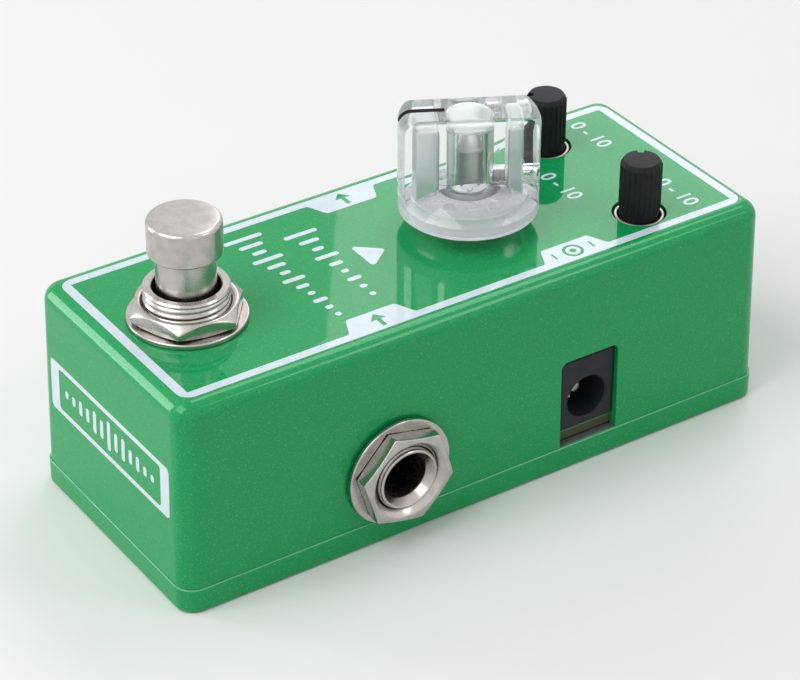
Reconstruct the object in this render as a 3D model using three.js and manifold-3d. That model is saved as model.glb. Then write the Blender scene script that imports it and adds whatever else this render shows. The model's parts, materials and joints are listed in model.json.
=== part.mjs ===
// Mini delay pedal: a die-cast case with a footswitch, three dials, two jacks and a power socket.
// Lengths are millimetres. +X is the player's right, +Y points away from the player, +Z is up.
// The origin is the middle of the underside, on the surface that the pedal stands on.
import * as THREE from 'three';
import { mergeVertices } from 'three/addons/utils/BufferGeometryUtils.js';
import Module from 'manifold-3d';

const wasm = await Module();
wasm.setup();

// Every cut runs past the face that it opens by this much.
const overrun = 1;
// Pieces that are clamped face to face lie this far apart.
const seatGap = 0.05;
// A pin, blade or shank has this much room round it in its hole.
const holeGap = 0.1;
// Facets round a full turn, by how large the round piece is.
const fineSides = 32;
const plainSides = 20;
const smallSides = 12;
const arcSteps = 4;
const footSteps = 2;
const degree = Math.PI / 180;

// The case: a drafted shell with rounded edges, standing on a shallow tray.
const shell = {
  length: 95, width: 38.8, height: 31.7, wall: 2, panel: 2.5, draft: 0.5, stepIn: 0.12,
  cornerRadius: 2.8, topEdgeRadius: 2.3, innerCornerRadius: 1.1,
};
const tray = {
  height: 3.7, floor: 1.8, wall: 1.9, edgeRadius: 0.6, innerCornerRadius: 1.2, bossRadius: 4.1, seam: 0.1,
};
const screw = {
  inset: 4.3, shankRadius: 1.45, headRadius: 2.8, headHeight: 1.6, length: 9.5, sunk: 0.1,
  crossWidth: 0.7, crossSpan: 3, crossDepth: 0.9, postRadius: 3.1, postHoleDepth: 9,
};

// The footswitch: a sprung plunger in a threaded bushing, over a contact housing.
const footswitch = {
  fromFront: 12.9, travel: 2.5, capRadius: 5, capHeight: 5, capTop: 15.1, capEdge: 0.65, capUnderEdge: 0.25,
  neckRadius: 4, neckBottom: 1.5, stemRadius: 2, spigotRadius: 0.9, spigotLength: 0.9,
};
const switchBushing = {
  top: 5.2, threadRadius: 5.8, threadDepth: 0.3, threadPitch: 0.9, threadTurns: 4, bore: 4.6,
  endBevel: 0.25, flangeTop: -5.7, flange: 1.4, seat: 1.2, stemHole: 2.3,
};
const switchNut = { acrossFlats: 13.8, height: 2.2, bevel: 0.7, turn: 21.5 };
const switchWasher = { radius: 8.1, thickness: 0.7 };
const switchLockNut = { acrossFlats: 14, height: 2.1 };
const switchHousing = { width: 12.8, length: 16.6, height: 8.4, cavity: 9, cavityDepth: 7.4 };
const switchLug = { width: 2, thickness: 0.5, spacing: 4.4, below: 3.2, proud: 0.9 };
const switchBridge = { radius: 3.4, thickness: 0.6, lift: 0.2 };
const switchSpring = {
  coilRadius: 3.2, wireRadius: 0.28, turns: 4, stepsATurn: 10, wireSides: 6, endGap: 0.3,
};

// The dials: one clear bar knob and two slim fluted shafts, each on its own pot.
const pot = {
  width: 9.8, length: 11.4, height: 5.6, plate: 1, bushingRadius: 3.5, bushingBore: 3.06, bushingBevel: 0.2,
  cavityRadius: 4.3, cavityDepth: 4, rotorRadius: 3.9, rotorHeight: 1.5, rotorDrop: 0.4, shaftRadius: 3,
  trackRadius: 4.1, trackHole: 1.2, trackHeight: 0.5, tailRadius: 1, tailLength: 1.2,
};
const timeDial = {
  y: 9.8, bushingTop: 2.2, panelHole: 3.65, shaftTop: 12.6, shaftFlat: 0.4, restAngle: 62,
};
const timeNut = { acrossFlats: 9.8, height: 1.7, turn: 10 };
const timeWasher = { radius: 5.4, thickness: 0.4 };
const barKnob = {
  radius: 9.7, bottom: 2.45, height: 15, skirtTop: 5.8, skirtCurve: 13.9, barHalfWidth: 3.46, barFoot: 1,
  endRounding: 2, topEdge: 0.4, bossRadius: 4, bossDrop: 1.5, bore: 3.25, boreRoof: 1.65,
  recessRadius: 8, recessDepth: 2.4, pocketRoof: 1.6,
};
const pointerPocket = { near: 4.3, far: 7.85, halfWidth: 2.6 };
const screwPocket = { near: 5, far: 7.3, halfWidth: 2.45 };
const grubScrew = {
  radius: 1.4, length: 2.1, height: 7.75, socketRadius: 0.75, socketDepth: 0.9, tipGap: 0.1,
};
const led = {
  y: 17.4, lensRadius: 1.5, lensTop: -0.1, flangeRadius: 1.9, flangeHeight: 0.8, bodyHeight: 5,
  leadRadius: 0.25, leadSpacing: 2.54,
};
const slimDial = {
  fromSide: 8.35, fromBack: 16.6, radius: 2.93, top: 8.35, edge: 0.45, edgeDrop: 0.7, flutes: 24,
  fluteDepth: 0.14, fluteBottom: 1, bushingTop: -0.2, panelHole: 3.8,
  notchWidth: 0.9, notchLength: 1.1, notchDepth: 0.9,
  levelTurn: 240, repeatTurn: 146,
};

// The two jacks, staggered so that their bodies lie side by side across the case.
const jack = {
  height: 10.9, inputY: -14.5, outputY: -1.6, panelHole: 4.85, threadRadius: 4.6, bore: 3.25,
  washerRadius: 7.9, washerThickness: 0.65, nutAcrossFlats: 12.6, nutHeight: 2.25, nutFaceBevel: 0.45,
  nutTurn: 17.3, nutCountersink: 0.45, rimBack: 0.2, rimBevel: 0.4, funnel: 0.65, funnelDepth: 1,
  spigotRadius: 4.2, spigotLength: 3, bodyInset: 2.45, bodyLength: 27, bodyWidth: 12.4,
  bodyAbove: 5.2, backWall: 3,
};
const jackContact = {
  width: 2.4, thickness: 0.4, slotWidth: 3, anchor: -5.4, dip: -2.2, lip: 1.4,
  anchorRise: 4.9, dipRise: 2.7, lipRise: 4.1, slotNear: -6.4, slotFar: 2.2,
};

// The power socket stands in a notch that the case leaves open at its foot.
const powerSocket = {
  y: 17.5, width: 9, height: 11, length: 14.4, recess: 0.7, holeRadius: 3.2, holeHeight: 10.1,
  holeDepth: 9.5, pinRadius: 1.05, pinBack: 2.75, notchY: 17.3, notchGap: 0.3, notchTop: 17.5,
  notchRadius: 1,
};
const sleeveContact = { width: 1.7, thickness: 0.4, inset: 2.75, bottom: 0.5, back: 0.6, slotLength: 9 };

// The boards and what stands on them.
const board = { thickness: 1.6, mainTop: 5.8, sideRoom: 1, fromFront: 21, fromBack: 8.1, tabGap: 0.35 };
const controlBoard = { sideRoom: 1.2, front: 2.5, fromBack: 9.1 };
const header = {
  fromSide: 6, fromBack: 17.3, width: 2.5, length: 12.7, bare: 3.9, stripHeight: 2.5, pins: 5,
};
const headerPin = { width: 0.64, spacing: 2.54 };
const chip = {
  width: 6.4, height: 3.3, stand: 0.5, legSpan: 7.6, legWidth: 0.5, legThickness: 0.3, legSpacing: 2.54,
};
const delayChip = { x: -3.4, y: 8.9, legs: 8 };
const ampChip = { x: -5, y: 18.5, legs: 4 };
const capacitor = {
  radius: 2.5, height: 11, fromBack: 17.5, firstX: -3.5, spacing: 7.2, count: 3, groove: 0.2, grooveAt: 1.4,
};
const connector = { behindSwitch: 11, width: 8, length: 3.4, height: 3.2 };
const ribbon = { width: 6.4, thickness: 0.9, bendShare: 0.45, startShare: 0.6 };

// Heights and places that follow from the sizes above.
const panelTop = shell.height;
const panelUnder = panelTop - shell.panel;
const seamTop = tray.height + tray.seam;
const plateUnder = -shell.panel - seatGap - pot.plate;
const potBottom = plateUnder - seatGap - pot.height;
const controlTop = panelTop + potBottom - seatGap;
const boardBottom = board.mainTop - board.thickness;
const screwX = shell.width / 2 - screw.inset;
const screwY = shell.length / 2 - screw.inset;
const switchY = footswitch.fromFront - shell.length / 2;
const slimX = shell.width / 2 - slimDial.fromSide;
const slimY = shell.length / 2 - slimDial.fromBack;
const jackFront = shell.width / 2 - jack.bodyInset;
const mainHalfWidth = shell.width / 2 - shell.wall - board.sideRoom;
const mainFront = board.fromFront - shell.length / 2;
const mainBack = shell.length / 2 - board.fromBack;
const controlHalfWidth = shell.width / 2 - shell.wall - controlBoard.sideRoom;
const controlBack = shell.length / 2 - controlBoard.fromBack;
const headerX = header.fromSide - shell.width / 2;
const headerY = shell.length / 2 - header.fromBack;
const capacitorY = shell.length / 2 - capacitor.fromBack;
const connectorY = switchY + connector.behindSwitch;

function sideAt(height) {
  return shell.width / 2 - shell.stepIn - shell.draft * height / shell.height;
}

// A material for each finish.
function finish(color, roughness, metalness) {
  return new THREE.MeshStandardMaterial({ color, roughness, metalness });
}
const greenPaint = finish(0x2aa35e, 0.3, 0.2);
const nickel = finish(0xc9c4bd, 0.22, 1);
const satinSteel = finish(0x9a9a9a, 0.45, 1);
const zinc = finish(0xa79a8a, 0.4, 1);
const brass = finish(0xc2a05a, 0.35, 1);
const blackPlastic = finish(0x17181a, 0.6, 0);
const greyPlastic = finish(0x2b2c30, 0.5, 0);
const bluePlastic = finish(0x1f4e9c, 0.5, 0);
const creamPlastic = finish(0xe6e0cf, 0.5, 0);
const boardGreen = finish(0x14532d, 0.5, 0);
const trackBrown = finish(0x5a3a22, 0.7, 0);
const ribbonGrey = finish(0x8f9299, 0.6, 0);
const clearAcrylic = new THREE.MeshStandardMaterial({
  color: 0xe8f3ee, roughness: 0.05, metalness: 0, transparent: true, opacity: 0.35,
});

// Joining and cutting closed meshes.
function solidOf(geometry) {
  const bare = geometry.clone();
  bare.deleteAttribute('normal');
  bare.deleteAttribute('uv');
  const merged = mergeVertices(bare);
  const points = merged.getAttribute('position').array;
  const corners = merged.getIndex().array;
  const kept = [];
  for (let i = 0; i < corners.length; i += 3) {
    const [a, b, c] = corners.slice(i, i + 3);
    if (a !== b && b !== c && c !== a) kept.push(a, b, c);
  }
  const mesh = (triangles) => new wasm.Manifold(new wasm.Mesh({
    numProp: 3, vertProperties: Float32Array.from(points), triVerts: Uint32Array.from(triangles),
  }));
  const solid = mesh(kept);
  return solid.volume() < 0 ? mesh(kept.reverse()) : solid;
}

function geometryOf(solid) {
  const mesh = solid.getMesh();
  const geometry = new THREE.BufferGeometry();
  geometry.setAttribute('position', new THREE.BufferAttribute(mesh.vertProperties, 3));
  geometry.setIndex(new THREE.BufferAttribute(mesh.triVerts, 1));
  return geometry;
}

function join(...pieces) {
  return geometryOf(pieces.map(solidOf).reduce((sum, piece) => sum.add(piece)));
}

function cut(body, ...tools) {
  return geometryOf(tools.map(solidOf).reduce((rest, tool) => rest.subtract(tool), solidOf(body)));
}

function common(body, other) {
  return geometryOf(solidOf(body).intersect(solidOf(other)));
}

// A block with its middle on the Z axis and its underside at the given height.
function block(width, length, height, bottom = 0) {
  return new THREE.BoxGeometry(width, length, height).translate(0, 0, bottom + height / 2);
}

// A turned solid. The profile is [radius, height] pairs, from the axis back to the axis.
function turned(profile, sides = plainSides) {
  const points = profile.map(([radius, height]) => new THREE.Vector2(radius, height));
  return geometryOf(solidOf(new THREE.LatheGeometry(points, sides).rotateX(Math.PI / 2)));
}

// A turned ring. Its profile closes on itself and stays off the axis.
function turnedRing(profile, sides = plainSides) {
  return turned([...profile, profile[0]], sides);
}

function rod(radius, height, bottom = 0, sides = plainSides) {
  return turned([[0, bottom], [radius, bottom], [radius, bottom + height], [0, bottom + height]], sides);
}

// A cone that a countersunk head or a funnel leaves: wide at the bottom, narrow at the top.
function cone(wide, narrow, height, bottom = 0, sides = plainSides) {
  return turned([[0, bottom], [wide, bottom], [narrow, bottom + height], [0, bottom + height]], sides);
}

function tube(outer, inner, height, bottom = 0, sides = plainSides) {
  const top = bottom + height;
  return turnedRing([[inner, bottom], [outer, bottom], [outer, top], [inner, top]], sides);
}

// A hexagon across the given flats, with one corner turned from +X by the given degrees.
function hexagon(acrossFlats, height, bottom, turn) {
  const corner = acrossFlats / 2 / Math.cos(30 * degree);
  return rod(corner, height, bottom, 6).rotateZ(turn * degree + Math.PI / 2);
}

// A nut: a hexagon whose upper corners are turned off, with a plain hole for the thread.
function nut(acrossFlats, height, bevel, hole, bottom, turn) {
  const corner = acrossFlats / 2 / Math.cos(30 * degree);
  const top = bottom + height;
  const flat = acrossFlats / 2 - bevel / 3;
  const cap = turned([
    [0, bottom - overrun], [corner + overrun, bottom - overrun], [corner + overrun, top - bevel],
    [corner, top - bevel], [flat, top], [0, top],
  ], fineSides);
  const outside = common(hexagon(acrossFlats, height, bottom, turn), cap);
  return cut(outside, rod(hole, height + 2 * overrun, bottom - overrun));
}

function roundedOutline(width, length, radius) {
  const [x, y] = [width / 2, length / 2];
  const outline = new THREE.Shape();
  outline.moveTo(x, radius - y);
  outline.lineTo(x, y - radius);
  outline.absarc(x - radius, y - radius, radius, 0, Math.PI / 2, false);
  outline.absarc(radius - x, y - radius, radius, Math.PI / 2, Math.PI, false);
  outline.absarc(radius - x, radius - y, radius, Math.PI, Math.PI * 3 / 2, false);
  outline.absarc(x - radius, radius - y, radius, Math.PI * 3 / 2, Math.PI * 2, false);
  return outline;
}

// A box with rounded upright corners. With an edge radius, its top and bottom edges are rounded too.
function roundedBox(width, length, height, radius, bottom = 0, edge = 0, steps = footSteps) {
  const geometry = new THREE.ExtrudeGeometry(roundedOutline(width, length, radius), {
    depth: height - 2 * edge, curveSegments: arcSteps / 2, bevelEnabled: edge > 0,
    bevelThickness: edge, bevelSize: edge, bevelOffset: -edge, bevelSegments: steps,
  });
  return geometry.translate(0, 0, bottom + edge);
}

// The walls lean in by the draft over the height of the case.
function drafted(geometry) {
  const places = geometry.getAttribute('position');
  for (let i = 0; i < places.count; i += 1) {
    const lean = shell.draft * places.getZ(i) / shell.height;
    places.setX(i, places.getX(i) - Math.sign(places.getX(i)) * lean);
    places.setY(i, places.getY(i) - Math.sign(places.getY(i)) * lean);
  }
  return geometry;
}

function moved(geometry, x, y, z = 0) {
  return geometry.clone().translate(x, y, z);
}

function atScrews(geometry) {
  return [[1, 1], [-1, 1], [-1, -1], [1, -1]].map(([x, y]) => moved(geometry, x * screwX, y * screwY));
}

function part(name, geometry, material, x = 0, y = 0, z = 0) {
  const mesh = new THREE.Mesh(geometry, material);
  mesh.name = name;
  mesh.position.set(x, y, z);
  return mesh;
}

function assembly(x, y, z, ...pieces) {
  const group = new THREE.Group();
  group.position.set(x, y, z);
  group.add(...pieces);
  return group;
}

// The notch for the power socket, open at the foot of the wall, with two round upper corners.
function socketNotch() {
  const half = powerSocket.width / 2 + powerSocket.notchGap;
  const { notchTop: top, notchRadius: radius } = powerSocket;
  const outline = new THREE.Shape();
  outline.moveTo(-half, -overrun);
  outline.lineTo(half, -overrun);
  outline.lineTo(half, top - radius);
  outline.absarc(half - radius, top - radius, radius, 0, Math.PI / 2, false);
  outline.absarc(radius - half, top - radius, radius, Math.PI / 2, Math.PI, false);
  const notch = new THREE.ExtrudeGeometry(outline, {
    depth: shell.wall + 2 * overrun, bevelEnabled: false, curveSegments: arcSteps / 2,
  });
  notch.rotateX(Math.PI / 2).rotateZ(Math.PI / 2);
  return notch.translate(sideAt(0) - shell.wall - overrun, powerSocket.notchY, 0);
}

function enclosure() {
  const [width, length] = [shell.width - 2 * shell.stepIn, shell.length - 2 * shell.stepIn];
  const whole = shell.height + 2 * shell.topEdgeRadius;
  const outside = drafted(roundedBox(
    width, length, whole, shell.cornerRadius, shell.height - whole, shell.topEdgeRadius, arcSteps));
  const inside = drafted(roundedBox(
    width - 2 * shell.wall, length - 2 * shell.wall, panelUnder + overrun,
    shell.innerCornerRadius, -overrun));
  const below = block(shell.width + overrun, shell.length + overrun, whole, seamTop - whole);
  const posts = atScrews(rod(screw.postRadius, panelUnder + overrun - seamTop, seamTop));
  const body = join(cut(outside, inside, below), ...posts);
  const screwHoles = atScrews(rod(
    screw.shankRadius + holeGap, screw.postHoleDepth + overrun, seamTop - overrun));
  const panelDepth = shell.panel + 2 * overrun;
  const throughPanel = (radius, x, y) => moved(rod(radius, panelDepth, panelUnder - overrun), x, y);
  const wallBack = shell.width / 2 - shell.wall - overrun;
  const throughWall = (side, y) => rod(jack.panelHole, shell.width / 2, wallBack)
    .rotateY(side * Math.PI / 2).translate(0, y, jack.height);
  return cut(
    body, ...screwHoles, socketNotch(),
    throughPanel(switchBushing.threadRadius + holeGap, 0, switchY),
    throughPanel(timeDial.panelHole, 0, timeDial.y),
    throughPanel(led.lensRadius + holeGap, 0, led.y),
    throughPanel(slimDial.panelHole, slimX, slimY),
    throughPanel(slimDial.panelHole, -slimX, slimY),
    throughWall(1, jack.inputY), throughWall(-1, jack.outputY),
  );
}

function basePlate() {
  const whole = tray.height + 2 * tray.edgeRadius;
  const outside = roundedBox(shell.width, shell.length, whole, shell.cornerRadius, 0, tray.edgeRadius);
  const above = block(shell.width + overrun, shell.length + overrun, whole, tray.height);
  const [width, length] = [shell.width - 2 * tray.wall, shell.length - 2 * tray.wall];
  const hollow = roundedBox(width, length, tray.height, tray.innerCornerRadius, tray.floor);
  const bosses = atScrews(rod(tray.bossRadius, whole, 0));
  const shank = rod(screw.shankRadius + holeGap, whole, 0);
  const head = cone(screw.headRadius + holeGap, screw.shankRadius + holeGap, screw.headHeight, screw.sunk);
  const mouth = rod(screw.headRadius + holeGap, screw.sunk + overrun, -overrun);
  const holes = [shank, head, mouth].flatMap(atScrews);
  return cut(outside, above, cut(hollow, ...bosses), ...holes);
}

// A countersunk screw with a cross recess, its head just below the underside of the tray.
function baseScrew() {
  const { sunk, headRadius, headHeight, shankRadius, length } = screw;
  const body = turned([
    [0, sunk], [headRadius, sunk], [shankRadius, sunk + headHeight], [shankRadius, length], [0, length],
  ], smallSides);
  const depth = screw.crossDepth + overrun;
  const arm = block(screw.crossSpan, screw.crossWidth, depth, sunk - overrun);
  return cut(body, arm, arm.clone().rotateZ(Math.PI / 2));
}

// Footswitch pieces. Their own zero height is the top of the panel.
const housingTop = switchBushing.flangeTop - switchBushing.flange - seatGap;
const housingFloor = housingTop - switchHousing.cavityDepth;
const lugTop = housingFloor + switchLug.proud;
const bridgeBottom = lugTop + switchBridge.lift + footswitch.travel;
const stemBottom = bridgeBottom + switchBridge.thickness + seatGap;

function footswitchButton() {
  const { capRadius, capTop, capHeight, capEdge, capUnderEdge } = footswitch;
  const { neckRadius, stemRadius, spigotRadius } = footswitch;
  const capBottom = capTop - capHeight;
  const spigotBottom = stemBottom - footswitch.spigotLength;
  const edge = [];
  for (let i = 0; i <= arcSteps; i += 1) {
    const angle = i / arcSteps * Math.PI / 2;
    const inward = capEdge * (1 - Math.cos(angle));
    const drop = capEdge * (1 - Math.sin(angle));
    edge.push([capRadius - inward, capTop - drop]);
  }
  return turned([
    [0, spigotBottom], [spigotRadius, spigotBottom], [spigotRadius, stemBottom], [stemRadius, stemBottom],
    [stemRadius, footswitch.neckBottom], [neckRadius, footswitch.neckBottom], [neckRadius, capBottom],
    [capRadius - capUnderEdge, capBottom], [capRadius, capBottom + capUnderEdge], ...edge, [0, capTop],
  ], fineSides);
}

function footswitchBushing() {
  const { top, threadRadius, threadDepth, threadPitch, threadTurns, bore, endBevel } = switchBushing;
  const plateTop = switchBushing.flangeTop;
  const plateBottom = plateTop - switchBushing.flange;
  const thread = [];
  for (let i = threadTurns; i > 0; i -= 1) {
    const crest = top - endBevel - i * threadPitch;
    thread.push([threadRadius, crest], [threadRadius - threadDepth, crest + threadPitch / 2]);
  }
  const barrel = turned([
    [0, plateBottom], [threadRadius, plateBottom], ...thread, [threadRadius, top - endBevel],
    [threadRadius - endBevel, top], [0, top],
  ], fineSides);
  const plate = block(switchHousing.width, switchHousing.length, switchBushing.flange, plateBottom);
  const seat = plateTop + switchBushing.seat;
  return cut(
    join(barrel, plate),
    rod(bore, top - seat + overrun, seat, fineSides),
    rod(switchBushing.stemHole, seat - plateBottom + 2 * overrun, plateBottom - overrun),
  );
}

function footswitchSpring() {
  const { coilRadius, wireRadius, turns, stepsATurn, wireSides, endGap } = switchSpring;
  const bottom = switchBushing.flangeTop + switchBushing.seat + endGap + wireRadius;
  const top = footswitch.neckBottom - endGap - wireRadius;
  class Coil extends THREE.Curve {
    getPoint(share, target = new THREE.Vector3()) {
      const angle = share * turns * Math.PI * 2;
      const height = bottom + share * (top - bottom);
      return target.set(coilRadius * Math.cos(angle), coilRadius * Math.sin(angle), height);
    }
  }
  const wire = new THREE.Shape();
  wire.absarc(0, 0, wireRadius, 0, Math.PI * 2, false);
  const steps = turns * stepsATurn;
  return new THREE.ExtrudeGeometry(wire, { extrudePath: new Coil(), steps, curveSegments: wireSides / 2 });
}

function atLugs(geometry) {
  return [-1, 1].map((side) => moved(geometry, 0, side * switchLug.spacing / 2));
}

function footswitchHousing() {
  const { width, length, height, cavity } = switchHousing;
  const depth = switchHousing.cavityDepth + overrun;
  const bottom = housingTop - height;
  const slot = block(
    switchLug.width + 2 * holeGap, switchLug.thickness + 2 * holeGap,
    height + 2 * overrun, bottom - overrun);
  const hollow = block(cavity, cavity, depth, housingFloor);
  return cut(block(width, length, height, bottom), hollow, ...atLugs(slot));
}

function footswitchAssembly() {
  const bushingHole = switchBushing.threadRadius + holeGap;
  const nutBottom = switchWasher.thickness + 2 * seatGap;
  const lockTop = -shell.panel - seatGap;
  const bridge = tube(
    switchBridge.radius, footswitch.spigotRadius + holeGap, switchBridge.thickness, bridgeBottom);
  const lugBottom = housingTop - switchHousing.height - switchLug.below;
  const lug = block(switchLug.width, switchLug.thickness, lugTop - lugBottom, lugBottom);
  const [frontLug, backLug] = atLugs(lug);
  const outerNut = nut(
    switchNut.acrossFlats, switchNut.height, switchNut.bevel, bushingHole, nutBottom, switchNut.turn);
  const lockBottom = lockTop - switchLockNut.height;
  const lockNut = nut(
    switchLockNut.acrossFlats, switchLockNut.height, 0, bushingHole, lockBottom, 0);
  return assembly(
    0, switchY, panelTop,
    part('footswitch_button', footswitchButton(), nickel),
    part('footswitch_contact_bridge', bridge, brass),
    part('footswitch_bushing', footswitchBushing(), nickel),
    part('footswitch_nut', outerNut, nickel),
    part('footswitch_washer', tube(
      switchWasher.radius, bushingHole, switchWasher.thickness, seatGap, fineSides), nickel),
    part('footswitch_lock_nut', lockNut, satinSteel),
    part('footswitch_spring', footswitchSpring(), satinSteel),
    part('footswitch_housing', footswitchHousing(), bluePlastic),
    part('footswitch_lug_front', frontLug, brass),
    part('footswitch_lug_back', backLug, brass),
  );
}

// Pot pieces. Their own zero height is the top of the panel, on the shaft's axis.
function potFrame(bushingTop) {
  const { bushingRadius, bushingBore, bushingBevel, width, length, plate } = pot;
  const barrel = turned([
    [0, plateUnder], [bushingRadius, plateUnder], [bushingRadius, bushingTop - bushingBevel],
    [bushingRadius - bushingBevel, bushingTop], [0, bushingTop],
  ]);
  const bore = rod(bushingBore, bushingTop - plateUnder + 2 * overrun, plateUnder - overrun);
  return cut(join(barrel, block(width, length, plate, plateUnder)), bore);
}

function potBody() {
  const { width, length, height, cavityRadius, cavityDepth, tailRadius } = pot;
  const cavityFloor = potBottom + height - cavityDepth;
  return cut(
    block(width, length, height, potBottom),
    rod(cavityRadius, cavityDepth + overrun, cavityFloor),
    rod(tailRadius + holeGap, height, potBottom - overrun, smallSides),
  );
}

function potTrack() {
  const floor = potBottom + pot.height - pot.cavityDepth;
  return tube(pot.trackRadius, pot.trackHole, pot.trackHeight, floor + seatGap);
}

// The foot of every shaft: the rotor under the plate, and the tail in the floor of the body.
function shaftFoot(radius) {
  const { rotorRadius, rotorHeight, rotorDrop, tailRadius } = pot;
  const rotorTop = plateUnder - rotorDrop;
  const rotorBottom = rotorTop - rotorHeight;
  const tailBottom = potBottom + pot.height - pot.cavityDepth - pot.tailLength;
  return [
    [0, tailBottom], [tailRadius, tailBottom], [tailRadius, rotorBottom], [rotorRadius, rotorBottom],
    [rotorRadius, rotorTop], [radius, rotorTop],
  ];
}

function timeShaft() {
  const top = timeDial.shaftTop;
  const radius = pot.shaftRadius;
  const shaft = turned([
    ...shaftFoot(radius), [radius, top - pot.bushingBevel], [radius - pot.bushingBevel, top], [0, top],
  ]);
  const flat = block(radius, 2 * radius, top, barKnob.bottom);
  return cut(shaft, moved(flat, radius * 3 / 2 - timeDial.shaftFlat, 0));
}

// A slim dial: a round shaft with shallow flutes, a bevelled end and a pointer notch at +X.
function slimShaft() {
  const { radius, flutes, fluteDepth, fluteBottom, top, edge, edgeDrop } = slimDial;
  const coreTop = fluteBottom + overrun;
  const core = turned([...shaftFoot(radius - fluteDepth), [radius - fluteDepth, coreTop], [0, coreTop]]);
  const ribs = [];
  for (let i = 0; i < 2 * flutes; i += 1) {
    const angle = i / flutes * Math.PI;
    const reach = i % 2 ? radius - fluteDepth : radius;
    ribs.push(new THREE.Vector2(reach * Math.cos(angle), reach * Math.sin(angle)));
  }
  const depth = top - fluteBottom;
  const ribbed = new THREE.ExtrudeGeometry(new THREE.Shape(ribs), { depth, bevelEnabled: false });
  const envelope = turned([
    [0, 0], [radius + edge, 0], [radius + edge, top - 2 * edgeDrop], [radius - edge, top], [0, top],
  ], flutes);
  const { notchLength, notchWidth, notchDepth } = slimDial;
  const notch = block(2 * notchLength, notchWidth, notchDepth + overrun, top - notchDepth);
  return cut(join(core, common(moved(ribbed, 0, 0, fluteBottom), envelope)), moved(notch, radius, 0));
}

function slimAssembly(name, side, turn) {
  return assembly(
    side * slimX, slimY, panelTop,
    part(`${name}_pot_shaft`, slimShaft().rotateZ(turn * degree), blackPlastic),
    part(`${name}_pot_frame`, potFrame(slimDial.bushingTop), zinc),
    part(`${name}_pot_body`, potBody(), blackPlastic),
    part(`${name}_pot_track`, potTrack(), trackBrown),
  );
}

// The knob's round skirt: its top is part of a sphere, so that it falls from the middle to the rim.
function knobSkirt() {
  const { radius, bottom, skirtTop, skirtCurve } = barKnob;
  const reach = radius + overrun;
  const slope = [];
  for (let i = 0; i <= arcSteps; i += 1) {
    const out = reach * (1 - i / arcSteps);
    slope.push([out, bottom + skirtTop - skirtCurve + Math.sqrt(skirtCurve * skirtCurve - out * out)]);
  }
  return turned([[0, bottom], [reach, bottom], ...slope], fineSides);
}

// A pocket in the knob's bar. Its far wall follows the knob's round outside.
function knobPocket({ near, far, halfWidth }, side) {
  const { bottom, height, pocketRoof } = barKnob;
  const depth = height - pocketRoof + overrun;
  const hollow = block(far, 2 * halfWidth, depth, bottom - overrun);
  hollow.translate(side * (near + far / 2), 0, 0);
  return common(hollow, rod(far, depth, bottom - overrun, fineSides));
}

// The bar knob lies along X before its group turns it. The pointer end is at -X, the grub screw at +X.
function timeKnob() {
  const { radius, bottom, height, barHalfWidth, barFoot, endRounding, topEdge } = barKnob;
  const top = bottom + height;
  const rounded = [];
  for (let i = 0; i <= arcSteps; i += 1) {
    const angle = i / arcSteps * Math.PI / 2;
    const inward = endRounding * (1 - Math.cos(angle));
    rounded.push([radius - inward, top - endRounding + endRounding * Math.sin(angle)]);
  }
  const whole = turned([[0, bottom], [radius, bottom], ...rounded, [0, top]], fineSides);
  const bar = roundedBox(
    2 * radius + overrun, 2 * barHalfWidth, height - barFoot, 2 * topEdge, bottom + barFoot, topEdge);
  const boss = rod(barKnob.bossRadius, height - barKnob.bossDrop, bottom);
  const body = common(whole, join(bar, knobSkirt(), boss));
  const pockets = [knobPocket(pointerPocket, -1), knobPocket(screwPocket, 1)];
  const recessDepth = barKnob.recessDepth + overrun;
  const recess = tube(barKnob.recessRadius, barKnob.bossRadius, recessDepth, bottom - overrun, fineSides);
  const bore = rod(barKnob.bore, height - barKnob.boreRoof + overrun, bottom - overrun);
  const screwHole = rod(grubScrew.radius + holeGap, radius + overrun, 0, smallSides)
    .rotateY(Math.PI / 2).translate(0, 0, grubScrew.height);
  return cut(body, ...pockets, recess, bore, screwHole);
}

function timeGrubScrew() {
  const { radius, length, height, socketRadius, socketDepth, tipGap } = grubScrew;
  const start = pot.shaftRadius - timeDial.shaftFlat + tipGap;
  const socket = rod(socketRadius, socketDepth + overrun, start + length - socketDepth, 6);
  return cut(rod(radius, length, start, smallSides), socket).rotateY(Math.PI / 2).translate(0, 0, height);
}

function timeAssembly() {
  const hole = pot.bushingRadius + holeGap;
  const nutBottom = timeWasher.thickness + 2 * seatGap;
  const turning = assembly(
    0, 0, 0,
    part('time_knob', timeKnob(), clearAcrylic),
    part('time_knob_grub_screw', timeGrubScrew(), satinSteel),
    part('time_pot_shaft', timeShaft(), satinSteel),
  );
  turning.rotation.z = timeDial.restAngle * degree;
  const { acrossFlats, height, turn } = timeNut;
  return assembly(
    0, timeDial.y, panelTop,
    turning,
    part('time_pot_frame', potFrame(timeDial.bushingTop), zinc),
    part('time_pot_nut', nut(acrossFlats, height, 0, hole, nutBottom, turn), satinSteel),
    part('time_pot_washer', tube(timeWasher.radius, hole, timeWasher.thickness, seatGap), satinSteel),
    part('time_pot_body', potBody(), blackPlastic),
    part('time_pot_track', potTrack(), trackBrown),
  );
}

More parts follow.
